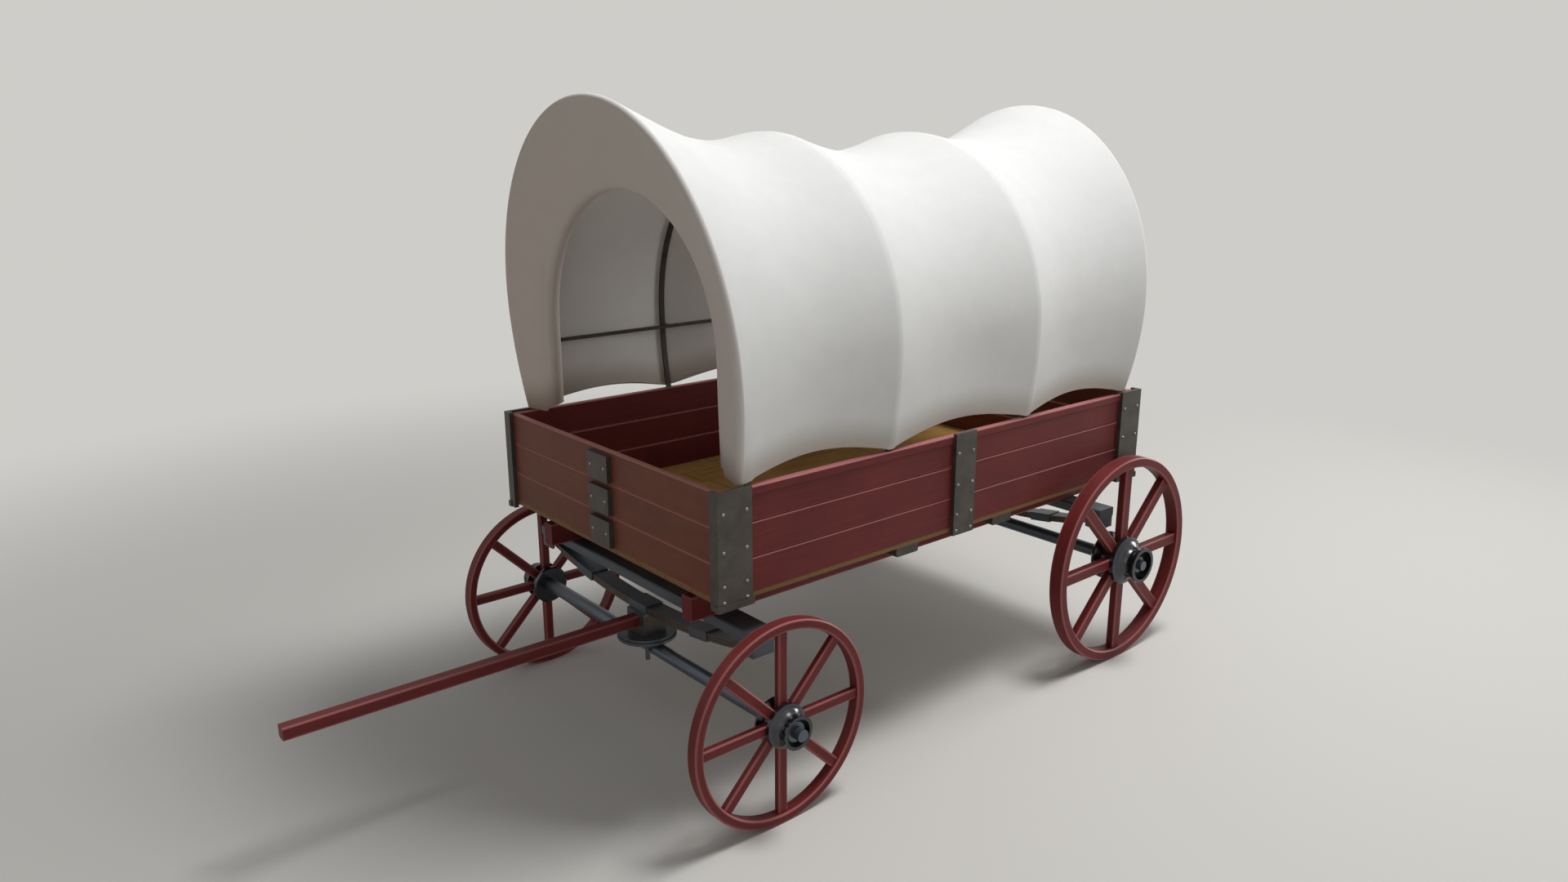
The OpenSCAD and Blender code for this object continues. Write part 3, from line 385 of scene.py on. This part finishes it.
def leaf_steel(name, leaves, bolster):
    """Spring leaves rolled and tempered blue grey: the joints between them are black lines, drawn
    4 mm wide so that they show, and their edges, which face the ends, are painted a dull brown as
    painted warm light."""
    dark, pale, lit_edge_tone, joint = LEAF_TONES
    material, shader = new_material(name)
    bolster_low, bolster_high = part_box(bolster)
    half = (bolster_high.y - bolster_low.y) / 2 - HANGER_IN
    under_r = (half * half + SPRING_SAG * SPRING_SAG) / (2 * SPRING_SAG) + LEAVES * LEAF_PITCH
    centre = (0, 0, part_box(leaves)[0].z + under_r)
    marks = add(material, "ShaderNodeTexNoise",
                {"Vector": grain_vector(material, "y"), "Scale": 1.0, "Detail": 4.0}).outputs["Fac"]
    steel = add(material, "ShaderNodeMix", {0: marks, 6: linear(dark), 7: linear(pale)},
                data_type="RGBA").outputs[2]
    place = add(material, "ShaderNodeTexCoord").outputs["Object"]
    off = add(material, "ShaderNodeVectorMath", {0: place, 1: centre}, operation="SUBTRACT").outputs[0]
    flat = add(material, "ShaderNodeVectorMath", {0: off, 1: (0, 1, 1)}, operation="MULTIPLY").outputs[0]
    radius = add(material, "ShaderNodeVectorMath", {0: flat}, operation="LENGTH").outputs["Value"]
    depth = add(material, "ShaderNodeMath", {0: under_r, 1: radius}, operation="SUBTRACT").outputs[0]
    gap = add(material, "ShaderNodeMath", {0: depth, 1: LEAF_PITCH / 2}, operation="PINGPONG").outputs[0]
    line = add(material, "ShaderNodeMapRange",
               {"Value": gap, "From Min": LEAF_LINE[0], "From Max": LEAF_LINE[1]}).outputs[0]
    # The edges are painted a dull brown, painted warm light, crossed by the black joint lines
    edges = add(material, "ShaderNodeMix", {0: line, 6: linear(lit_edge_tone), 7: linear(joint)},
                data_type="RGBA").outputs[2]
    on_edge = gap_to(material, facing_part(material, "X"), 0)
    steel = add(material, "ShaderNodeMix", {0: on_edge, 6: steel, 7: edges}, data_type="RGBA").outputs[2]
    rough = add(material, "ShaderNodeMapRange", {"Value": marks, "To Min": 0.30, "To Max": 0.50}).outputs[0]
    feed(material, shader, base_color=steel, metallic=0.6, roughness=rough)
    return material


def turned_steel(name, centre):
    """Hubs turned on a lathe and oiled: rings of tool marks round the axle and a clear shine."""
    dark, pale = HUB_TONES
    material, shader = new_material(name)
    rings = grain_vector(material, "ring", centre)
    marks = add(material, "ShaderNodeTexNoise", {"Vector": rings, "Scale": 0.6, "Detail": 3.0}).outputs["Fac"]
    steel = add(material, "ShaderNodeMix", {0: marks, 6: linear(dark), 7: linear(pale)},
                data_type="RGBA").outputs[2]
    rough = add(material, "ShaderNodeMapRange", {"Value": marks, "To Min": 0.16, "To Max": 0.32}).outputs[0]
    feed(material, shader, base_color=steel, metallic=0.95, roughness=rough)
    return material


# Cover: one canvas sheet over four hoops, which sags deeper and rolls fuller than its solid

HOOPS = ["hoop_front_end", "hoop_front_middle", "hoop_rear_middle", "hoop_rear_end"]
# Kept for each point of the sheet: height above its own stretch of hem, and how much it faces an end
ABOVE_HEM = "above_hem"
END_FACING = "end_facing"

# Middle hoops: place from the box's middle, width of the bar, radius, half width at the foot, and
# height above the rail at which the arch springs
HOOP_X = 0.500
HOOP_W = 0.030
HOOP_R = 0.950
HOOP_FOOT = 0.9005
SPRING_H = 0.473

# Cloth, and the hem: its gap above the rail, its rise between hoops, and its roll, which is pressed
# nearly flat at the hoops and eases out beside them
CLOTH_T = 0.006
CLOTH_GAP = 0.003
HEM_GAP = 0.012
HEM_RISE = 0.062
HEM_ROLL = 0.011
HEM_SWEEP = math.radians(200)
HEM_PRESSED = 0.05
HEM_EASE = 0.060

# Sag between the hoops, at the top in the middle bay and in the end bays, and at the sides
SAG_TOP = 0.094
END_SAG_TOP = 0.122
SAG_SIDE = 0.052

# Lip that flares out over each end: place, lean of its top, height of its arch, half width,
# rounding of its edge, and the power by which the canvas rises to it
LIP_X = 1.398
LIP_LEAN = 0.140
LIP_H = 1.115
LIP_HALF_W = 0.975
LIP_ROUND = 0.024
FLARE_POWER = 0.8

# Mouth inside the lip: half width, height of its arch, depth behind the lip, lean, and its roll
MOUTH_HALF_W = 0.700
MOUTH_H = 0.704
MOUTH_DEPTH = 0.046
MOUTH_LEAN = 0.020
MOUTH_ROLL = 0.040
MOUTH_SWEEP = math.radians(210)
# Share of the band's width over which its foot rounds up to the mouth, how far it rises, and how
# far the roll's own foot is tucked up
CORNER_SHARE = 0.25
CORNER_RISE = 0.030
ROLL_RISE = 0.035

# Slight folds: distance from a hoop over which they grow, height above the rail at which they
# start and over which they grow, distance from the lip, and each kind's depth and count in a metre
FOLD_FROM_HOOP = 0.18
FOLD_START = 0.05
FOLD_RISE = 0.3
FOLD_FROM_LIP = 0.2
FOLDS = ((0.004, 2.6), (0.0016, 7.0))

HEM_H = HEM_GAP + HEM_ROLL
COVER_A = HOOP_R + CLOTH_GAP + CLOTH_T
COVER_FOOT = HOOP_R - (HOOP_R - HOOP_FOOT) * (1 - HEM_H / SPRING_H) ** 2 + CLOTH_GAP + CLOTH_T
BAR_IN_X = HOOP_X - HOOP_W / 2
BAR_OUT_X = HOOP_X + HOOP_W / 2
LIP_BODY_X = LIP_X - LIP_ROUND
MOUTH_FOOT = MOUTH_HALF_W + MOUTH_LEAN / 2
LEAN_REF = SPRING_H + LIP_H

# Steps along the sheet in each bay, end bay, lip, mouth and its roll, and round each section
BAY_N = 26
END_N = 30
LIP_N = 6
MOUTH_N = 14
EDGE_N = 14
ROLL_N = 6
LEG_N = 16
ARCH_N = 84

# Canvas: its darkest and palest cloth, painted shade in the weave's hollows, warm painted shade where
# it faces an end and painted shade at the hem, then the spacing at which the threads are drawn, the
# size of a cloud of wear, and the height of the painted shade at the hem
CANVAS_TONES = ("#e6e6e4", "#f0f0ee", "#b9b6b1", "#b8a08e", "#8d7a63")
THREAD = 0.010
WEAR_CLOUD = 0.12
HEM_SHADE_H = 0.16


def cotton_canvas(name):
    """Heavy bleached cotton duck: matt off-white and an even plain weave, with painted shade in the
    weave's hollows, a warm brown painted shade where it faces an end, and a darker painted shade towards
    the hem. The true thread spacing is about 1.5 mm; it is drawn coarser so that it shows."""
    grey, white, low, end_shade_tone, hem_shade_tone = CANVAS_TONES
    material, shader = new_material(name)
    waves = 2 * math.pi / THREAD
    place = add(material, "ShaderNodeTexCoord").outputs["Object"]
    parts = add(material, "ShaderNodeSeparateXYZ", {0: place})
    up = add(material, "ShaderNodeMath", {0: parts.outputs["Z"], 1: RAIL_Z + SPRING_H},
             operation="SUBTRACT").outputs[0]
    turn = add(material, "ShaderNodeMath", {0: up, 1: parts.outputs["Y"]}, operation="ARCTAN2").outputs[0]
    wefts = add(material, "ShaderNodeMath", {0: parts.outputs["X"], 1: waves},
                operation="MULTIPLY").outputs[0]
    warps = add(material, "ShaderNodeMath", {0: turn, 1: waves * HOOP_R}, operation="MULTIPLY").outputs[0]
    weft = add(material, "ShaderNodeMath", {0: wefts}, operation="SINE").outputs[0]
    warp = add(material, "ShaderNodeMath", {0: warps}, operation="SINE").outputs[0]
    weave = add(material, "ShaderNodeMath", {0: weft, 1: warp}, operation="MULTIPLY").outputs[0]
    cloud = add(material, "ShaderNodeTexNoise",
                {"Vector": place, "Scale": 1 / WEAR_CLOUD, "Detail": 5.0}).outputs["Fac"]
    cloth = add(material, "ShaderNodeMix", {0: cloud, 6: linear(grey), 7: linear(white)},
                data_type="RGBA").outputs[2]
    # Threads that lie lower in the weave are painted a little darker: painted shade in the weave's hollows
    weave_hollow_shade = add(material, "ShaderNodeMapRange",
               {"Value": weave, "From Min": 0.2, "From Max": -1.0, "To Max": 0.30}).outputs[0]
    cloth = add(material, "ShaderNodeMix", {0: weave_hollow_shade, 6: cloth, 7: linear(low)}, data_type="RGBA").outputs[2]
    # Where the sheet faces an end it is painted a warm brown: painted shade on the end bands
    ends = add(material, "ShaderNodeAttribute", attribute_name=END_FACING).outputs["Fac"]
    end_shade = add(material, "ShaderNodeMath", {0: ends, 1: 0.55}, operation="MULTIPLY").outputs[0]
    cloth = add(material, "ShaderNodeMix", {0: end_shade, 6: cloth, 7: linear(end_shade_tone)}, data_type="RGBA").outputs[2]
    # Darker brown towards the hem: painted shade along the cover's lower edge
    above = add(material, "ShaderNodeAttribute", attribute_name=ABOVE_HEM).outputs["Fac"]
    hem_shade = add(material, "ShaderNodeMapRange",
               {"Value": above, "From Min": HEM_SHADE_H, "From Max": 0.0, "To Max": 0.50},
               interpolation_type="SMOOTHSTEP").outputs[0]
    cloth = add(material, "ShaderNodeMix", {0: hem_shade, 6: cloth, 7: linear(hem_shade_tone)}, data_type="RGBA").outputs[2]
    relief = add(material, "ShaderNodeBump",
                 {"Height": weave, "Strength": 0.22, "Distance": 0.0008}).outputs[0]
    feed(material, shader, base_color=cloth, roughness=0.80, normal=relief, sheen_weight=0.06,
         subsurface_weight=0.5, subsurface_radius=(1.0, 0.95, 0.88), subsurface_scale=0.015)
    return material


def hem_curl(x):
    """Share of its full roll that the hem has: next to none where it is pressed to a hoop."""
    gap = min(abs(abs(x) - hoop_x) for hoop_x in (HOOP_X, END_HOOP_X)) - HOOP_W / 2
    return min(1, max(HEM_PRESSED, gap / HEM_EASE))


def ring(x, lean, half_w, arch_h, foot, hem, facing, curl_share=1):
    """One section of the sheet: place at the rail, lean of its top, half width, height of the
    arch, half width and height of the hem, the angle that its outer side faces, and the hem's roll."""
    return {"x": x, "lean": lean, "half_w": half_w, "arch_h": arch_h, "foot": foot, "hem": hem,
            "facing": facing, "curl": hem_curl(x) * curl_share}


def bay_ring(t):
    """Between the two middle hoops, where the canvas sags."""
    sag = math.sin(math.pi * t)
    return ring(BAR_IN_X * (2 * t - 1), 0, COVER_A - SAG_SIDE * sag, COVER_A - SAG_TOP * sag,
                COVER_FOOT - SAG_SIDE * sag / 2, HEM_H + HEM_RISE * sag, math.pi / 2)


def end_ring(t):
    """From a middle hoop to the lip, where the canvas flares out and up."""
    sag = math.sin(math.pi * t)
    return ring(BAR_OUT_X + (LIP_BODY_X - BAR_OUT_X) * t, LIP_LEAN * t * t,
                COVER_A + (LIP_HALF_W - COVER_A) * t - SAG_SIDE * sag,
                COVER_A + (LIP_H - COVER_A) * t ** FLARE_POWER - END_SAG_TOP * sag,
                COVER_FOOT - SAG_SIDE * sag / 2, HEM_H + HEM_RISE * sag, math.pi / 2)


def lip_ring(angle):
    """Round the rounded edge of the lip."""
    inset = LIP_ROUND * (1 - math.sin(angle))
    return ring(LIP_BODY_X + LIP_ROUND * math.cos(angle), LIP_LEAN, LIP_HALF_W - inset, LIP_H - inset,
                COVER_FOOT - inset, HEM_H, angle)


def mouth_ring(t):
    """From the lip in to the rolled edge of the mouth."""
    edge = lip_ring(0)
    corner = max(0, 1 - (1 - t) / CORNER_SHARE)
    return ring(edge["x"] - MOUTH_DEPTH * t, LIP_LEAN + (MOUTH_LEAN - LIP_LEAN) * t,
                edge["half_w"] + (MOUTH_HALF_W + MOUTH_ROLL - edge["half_w"]) * t,
                edge["arch_h"] + (MOUTH_H + MOUTH_ROLL - edge["arch_h"]) * t,
                edge["foot"] + (MOUTH_FOOT + MOUTH_ROLL - edge["foot"]) * t,
                HEM_H + CORNER_RISE * (1 - math.sqrt(1 - corner * corner)), 0)


def mouth_roll(angle):
    """Round the rolled edge of the mouth, in towards the inside, its foot tucked up."""
    edge = mouth_ring(1)
    inset = MOUTH_ROLL * math.sin(angle)
    done = angle / MOUTH_SWEEP
    return ring(edge["x"] - MOUTH_ROLL * (1 - math.cos(angle)), MOUTH_LEAN, edge["half_w"] - inset,
                edge["arch_h"] - inset, edge["foot"] - inset, edge["hem"] + ROLL_RISE * done, 0, 1 - done)


def turned(section):
    """The same section at the rear end."""
    return dict(section, x=-section["x"], lean=-section["lean"], facing=math.pi - section["facing"])


def close_at_ends(n):
    """Shares from nought to one that crowd towards both, so that creases at the hoops stay crisp."""
    return [(1 - math.cos(math.pi * i / n)) / 2 for i in range(n + 1)]


def cover_rings():
    """All sections from the rear mouth to the front mouth."""
    front = [end_ring(t) for t in close_at_ends(END_N)]
    front += [lip_ring(math.pi / 2 * (1 - i / LIP_N)) for i in range(1, LIP_N)]
    front += [mouth_ring(i / MOUTH_N) for i in range(MOUTH_N + 1)]
    front += [mouth_roll(MOUTH_SWEEP * i / EDGE_N) for i in range(1, EDGE_N + 1)]
    middle = [bay_ring(t) for t in close_at_ends(BAY_N)]
    return [turned(s) for s in reversed(front)] + middle + front


def ring_points(section):
    """Points of a section from the right hem over the top to the left hem, with the hem's roll."""
    half = []
    inward = Vector((-math.cos(section["facing"]), -math.sin(section["facing"])))
    sweep = HEM_SWEEP * section["curl"]
    hem = section["hem"] - HEM_ROLL * (1 - math.sin(min(sweep, math.pi / 2)))
    for i in range(ROLL_N, 0, -1):
        angle = sweep * i / ROLL_N
        out = HEM_ROLL * (1 - math.cos(angle))
        half.append((inward.x * out, section["foot"] + inward.y * out, hem - HEM_ROLL * math.sin(angle)))
    for i in range(LEG_N, 0, -1):
        u = i / LEG_N
        half.append((0, section["half_w"] - (section["half_w"] - section["foot"]) * u * u,
                     SPRING_H - (SPRING_H - hem) * u))
    for i in range(ARCH_N // 2 + 1):
        angle = math.pi * i / ARCH_N
        half.append((0, section["half_w"] * math.cos(angle), SPRING_H + section["arch_h"] * math.sin(angle)))
    whole = [(x, -y, z) for x, y, z in half] + half[-2::-1]
    return [Vector((BOX_X + section["x"] + section["lean"] * z / LEAN_REF + x, y, RAIL_Z + z))
            for x, y, z in whole]


def canvas_cover(sections, rows):
    """The sheet as a grid of its sections, with slight folds between what holds it."""
    build = bmesh.new()
    above = build.verts.layers.float.new(ABOVE_HEM)
    ends = build.verts.layers.float.new(END_FACING)
    grid = [[build.verts.new(p) for p in row] for row in rows]
    for section, row in zip(sections, grid):
        for vert in row:
            vert[above] = vert.co.z - RAIL_Z - section["hem"]
            vert[ends] = abs(math.cos(section["facing"]))
    for low, high in zip(grid, grid[1:]):
        for a, b, c, d in zip(low, low[1:], high[1:], high):
            build.faces.new((a, d, c, b))
    build.normal_update()
    for vert in build.verts:
        x = abs(vert.co.x - BOX_X)
        free = min(1, abs(x - HOOP_X) / FOLD_FROM_HOOP)
        free *= min(1, max(0, (vert.co.z - RAIL_Z - FOLD_START) / FOLD_RISE))
        free *= min(1, max(0, LIP_BODY_X - x) / FOLD_FROM_LIP)
        fold = sum(depth * noise.noise(vert.co * count) for depth, count in FOLDS)
        vert.co += vert.normal * fold * free
    return build


canvas = cotton_canvas("bleached_cotton_canvas")
cover_sections = cover_rings()
cover_rows = [ring_points(s) for s in cover_sections]
cover_mesh = canvas_cover(cover_sections, cover_rows)
sheet_area = sum(f.calc_area() for f in cover_mesh.faces)
cover = piece("canvas_cover", cover_mesh, canvas, "wagon")
thick = cover.modifiers.new("cloth_thickness", "SOLIDIFY")
thick.thickness = CLOTH_T
thick.offset = -1
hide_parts("cover")


# Rivets on the irons and plates

RIVET_R = 0.0085
RIVET_H = 0.0055
RIVET_SIDES = 18
RIVET_STEPS = 4
# How far a corner iron's foot stands proud of its face, and the rivets' distances from the edges
SHOE_PROUD = 0.006
CORNER_INSET = 0.030
MID_INSET = 0.022
PLATE_INSET = 0.028
# End plates: one on each plank, with its place on the plank and its height
PLATES = 3
PLATE_LOW = 0.008
PLATE_H = 0.130
# Places of the rivets down an iron, as shares of its height
CORNER_SHARES = (0.183, 0.500, 0.790, 0.925)
MID_SHARES = (0.190, 0.500, 0.793, 0.955)


def dome(build, centre, facing):
    """A low round rivet head with its flat side on a face."""
    side = facing.orthogonal().normalized()
    other = facing.cross(side)
    turns = [2 * math.pi * k / RIVET_SIDES for k in range(RIVET_SIDES)]
    rows = []
    for i in range(RIVET_STEPS):
        angle = math.pi / 2 * i / RIVET_STEPS
        middle = centre + facing * RIVET_H * math.sin(angle)
        reach = RIVET_R * math.cos(angle)
        rows.append([build.verts.new(middle + (side * math.cos(turn) + other * math.sin(turn)) * reach)
                     for turn in turns])
    for low, high in zip(rows, rows[1:]):
        for k in range(RIVET_SIDES):
            n = (k + 1) % RIVET_SIDES
            build.faces.new((low[k], low[n], high[n], high[k]))
    tip = build.verts.new(centre + facing * RIVET_H)
    for k in range(RIVET_SIDES):
        build.faces.new((rows[-1][k], rows[-1][(k + 1) % RIVET_SIDES], tip))


def iron_rivets():
    """Two columns of four rivets on each side iron, and two on each end plate."""
    build = bmesh.new()
    for name in ("iron_front_left", "iron_front_right", "iron_rear_left", "iron_rear_right",
                 "iron_mid_left", "iron_mid_right"):
        low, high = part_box(name)
        corner = "mid" not in name
        proud = SHOE_PROUD if corner else 0
        inset = (CORNER_INSET if corner else MID_INSET) + proud
        face = high.y - proud if "left" in name else low.y + proud
        facing = Vector((0, 1 if "left" in name else -1, 0))
        for share in CORNER_SHARES if corner else MID_SHARES:
            z = high.z + (low.z - high.z) * share
            for x in (low.x + inset, high.x - inset):
                dome(build, Vector((x, face, z)), facing)
    low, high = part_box("panel_plates")
    for face, way in ((high.x, 1), (low.x, -1)):
        for i in range(PLATES):
            z = PLANK_Z + PLANK_PITCH * i + PLATE_LOW + PLATE_H / 2
            for y in (low.y + PLATE_INSET, high.y - PLATE_INSET):
                dome(build, Vector((face, y, z)), Vector((way, 0, 0)))
    return build


rivet_steel = forged_iron("worn_rivet_heads", "#72716e", "#999894", 0.7, 0.35)
piece("iron_rivets", iron_rivets(), rivet_steel, "wagon")


# Finishes of the frame's own pieces

dress(["side_left", "side_right"], painted_pine("red_painted_side_planks", "x", seams=True))
# The end panels are painted browner than the sides: painted warm light on the faces that look to the ends
dress(["front_panel", "rear_panel"],
      painted_pine("warm_lit_red_end_planks", "y", seams=True, tones=WARM_LIT_RED_TONES))
dress(["sill_left", "sill_right"], painted_pine("red_painted_sills", "x", beam=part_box("sill_left")))
dress(["pole"], painted_pine("red_painted_pole", "x", beam=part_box("pole")))
dress(["floor_boards"], bare_pine("bare_pine_boards"))
dress(["cover"], canvas)

iron = forged_iron("rolled_black_iron")
dress([name for name in nodes if name.startswith("iron_")], iron)
dress(["panel_plates", "cross_members", "side_rods", *HOOPS, "pole_block"], iron)

bright_steel = drawn_steel("blue_grey_drawn_steel")
scaled_steel = drawn_steel("scaled_rolled_steel", "#464c53", "#666d74", 0.45)
dress(["kingpin"], bright_steel)
dress(["spring_front_saddle", "spring_rear_seat", "turntable_lower", "turntable_upper"], scaled_steel)

for end in ("front", "rear"):
    wheel = wheel_pair(end)
    leaves = f"spring_{end}_leaves"
    bolster = f"bolster_{end}"
    dress([f"rim_{end}_left", f"rim_{end}_right"],
          painted_pine(f"red_painted_{end}_rims", "ring", wheel=wheel))
    dress([f"spokes_{end}_left", f"spokes_{end}_right"],
          painted_pine(f"red_painted_{end}_spokes", "radial", wheel=wheel))
    dress([f"hub_{end}_left", f"hub_{end}_right"], turned_steel(f"oiled_turned_{end}_hubs", wheel["centre"]))
    dress([f"axle_{end}", f"axle_{end}_nuts"], bright_steel)
    dress([bolster, f"spring_{end}_bands", f"spring_{end}_hangers"], scaled_steel)
    dress([leaves], leaf_steel(f"tempered_{end}_leaves", leaves, bolster))


# Stage, light and camera

FLOOR_HALF = 120
# Distances at which the floor starts to run out into the backdrop, and has done so
FLOOR_FADE = (3.0, 9.0)
FLOOR_TONE = "#d6d4cf"
BACKDROP = "#cfcdc9"
# Strength of the even light from all round
SURROUNDINGS = 0.22
WAGON_MIDDLE = Vector((BOX_X, 0, 1.4))
# Name, place, width and watts of each lamp
LAMPS = (
    ("key_lamp", (-2.8, 2.4, 10.4), 3.2, 690),
    ("back_lamp", (-12.0, 2.0, 3.2), 3.0, 430),
    ("fill_lamp", (6.5, 2.5, 4.5), 4.0, 18),
)
# Camera: place, direction, lens and sensor in millimetres, and how far it sees
CAMERA_PLACE = (3.5048, 4.3844, 2.9404)
CAMERA_LOOK = Vector((-0.62298, -0.73669, -0.26304))
CAMERA_LENS = 25.587
CAMERA_SENSOR = 36
CAMERA_REACH = 400


def seen_or_mirrored(owner):
    """One for what the camera sees itself, in a shiny surface or through a clear one."""
    paths = add(owner, "ShaderNodeLightPath")
    seen = paths.outputs["Is Camera Ray"]
    for ray in ("Is Glossy Ray", "Is Transmission Ray"):
        seen = add(owner, "ShaderNodeMath", {0: seen, 1: paths.outputs[ray]}, operation="MAXIMUM").outputs[0]
    return seen


def pale_floor():
    """A plain pale floor that runs out into the backdrop's colour far from the wagon."""
    material, shader = new_material("pale_studio_floor")
    tree = material.node_tree
    place = add(material, "ShaderNodeTexCoord").outputs["Object"]
    far = add(material, "ShaderNodeVectorMath", {0: place}, operation="LENGTH").outputs["Value"]
    fade = add(material, "ShaderNodeMapRange",
               {"Value": far, "From Min": FLOOR_FADE[0], "From Max": FLOOR_FADE[1]},
               interpolation_type="SMOOTHSTEP").outputs[0]
    share = add(material, "ShaderNodeMath", {0: fade, 1: seen_or_mirrored(material)},
                operation="MULTIPLY").outputs[0]
    glow = add(material, "ShaderNodeEmission", {"Color": linear(BACKDROP)}).outputs[0]
    both = add(material, "ShaderNodeMixShader", {0: share, 1: shader.outputs[0], 2: glow}).outputs[0]
    tree.links.new(both, tree.nodes["Material Output"].inputs["Surface"])
    feed(material, shader, base_color=linear(FLOOR_TONE), roughness=0.9)
    build = bmesh.new()
    bmesh.ops.create_grid(build, x_segments=1, y_segments=1, size=FLOOR_HALF)
    mesh = bpy.data.meshes.new("studio_floor")
    build.to_mesh(mesh)
    build.free()
    mesh.materials.append(material)
    made = bpy.data.objects.new("studio_floor", mesh)
    bpy.context.scene.collection.objects.link(made)


def studio_world():
    """Even pale surroundings, seen as the backdrop's colour."""
    world = bpy.data.worlds.new("studio_surroundings")
    world.use_nodes = True
    bpy.context.scene.world = world
    tree = world.node_tree
    light = tree.nodes["Background"]
    light.inputs["Color"].default_value = (1, 1, 1, 1)
    light.inputs["Strength"].default_value = SURROUNDINGS
    seen = add(world, "ShaderNodeBackground", {"Color": linear(BACKDROP)})
    both = add(world, "ShaderNodeMixShader",
               {0: seen_or_mirrored(world), 1: light.outputs[0], 2: seen.outputs[0]}).outputs[0]
    tree.links.new(both, tree.nodes["World Output"].inputs["Surface"])


def soft_lamp(name, place, size, power):
    """A large square lamp aimed at the wagon's middle."""
    lamp = bpy.data.lights.new(name, "AREA")
    lamp.size = size
    lamp.energy = power
    made = bpy.data.objects.new(name, lamp)
    made.location = place
    made.rotation_euler = (WAGON_MIDDLE - Vector(place)).to_track_quat("-Z", "Y").to_euler()
    bpy.context.scene.collection.objects.link(made)


def photo_camera():
    """The camera at the photograph's viewing angle."""
    data = bpy.data.cameras.new("photo_camera")
    data.lens = CAMERA_LENS
    data.sensor_width = CAMERA_SENSOR
    data.clip_end = CAMERA_REACH
    made = bpy.data.objects.new("photo_camera", data)
    made.location = CAMERA_PLACE
    made.rotation_euler = CAMERA_LOOK.to_track_quat("-Z", "Y").to_euler()
    bpy.context.scene.collection.objects.link(made)
    bpy.context.scene.camera = made


pale_floor()
studio_world()
for lamp in LAMPS:
    soft_lamp(*lamp)
photo_camera()
bpy.context.scene.view_settings.view_transform = "Standard"
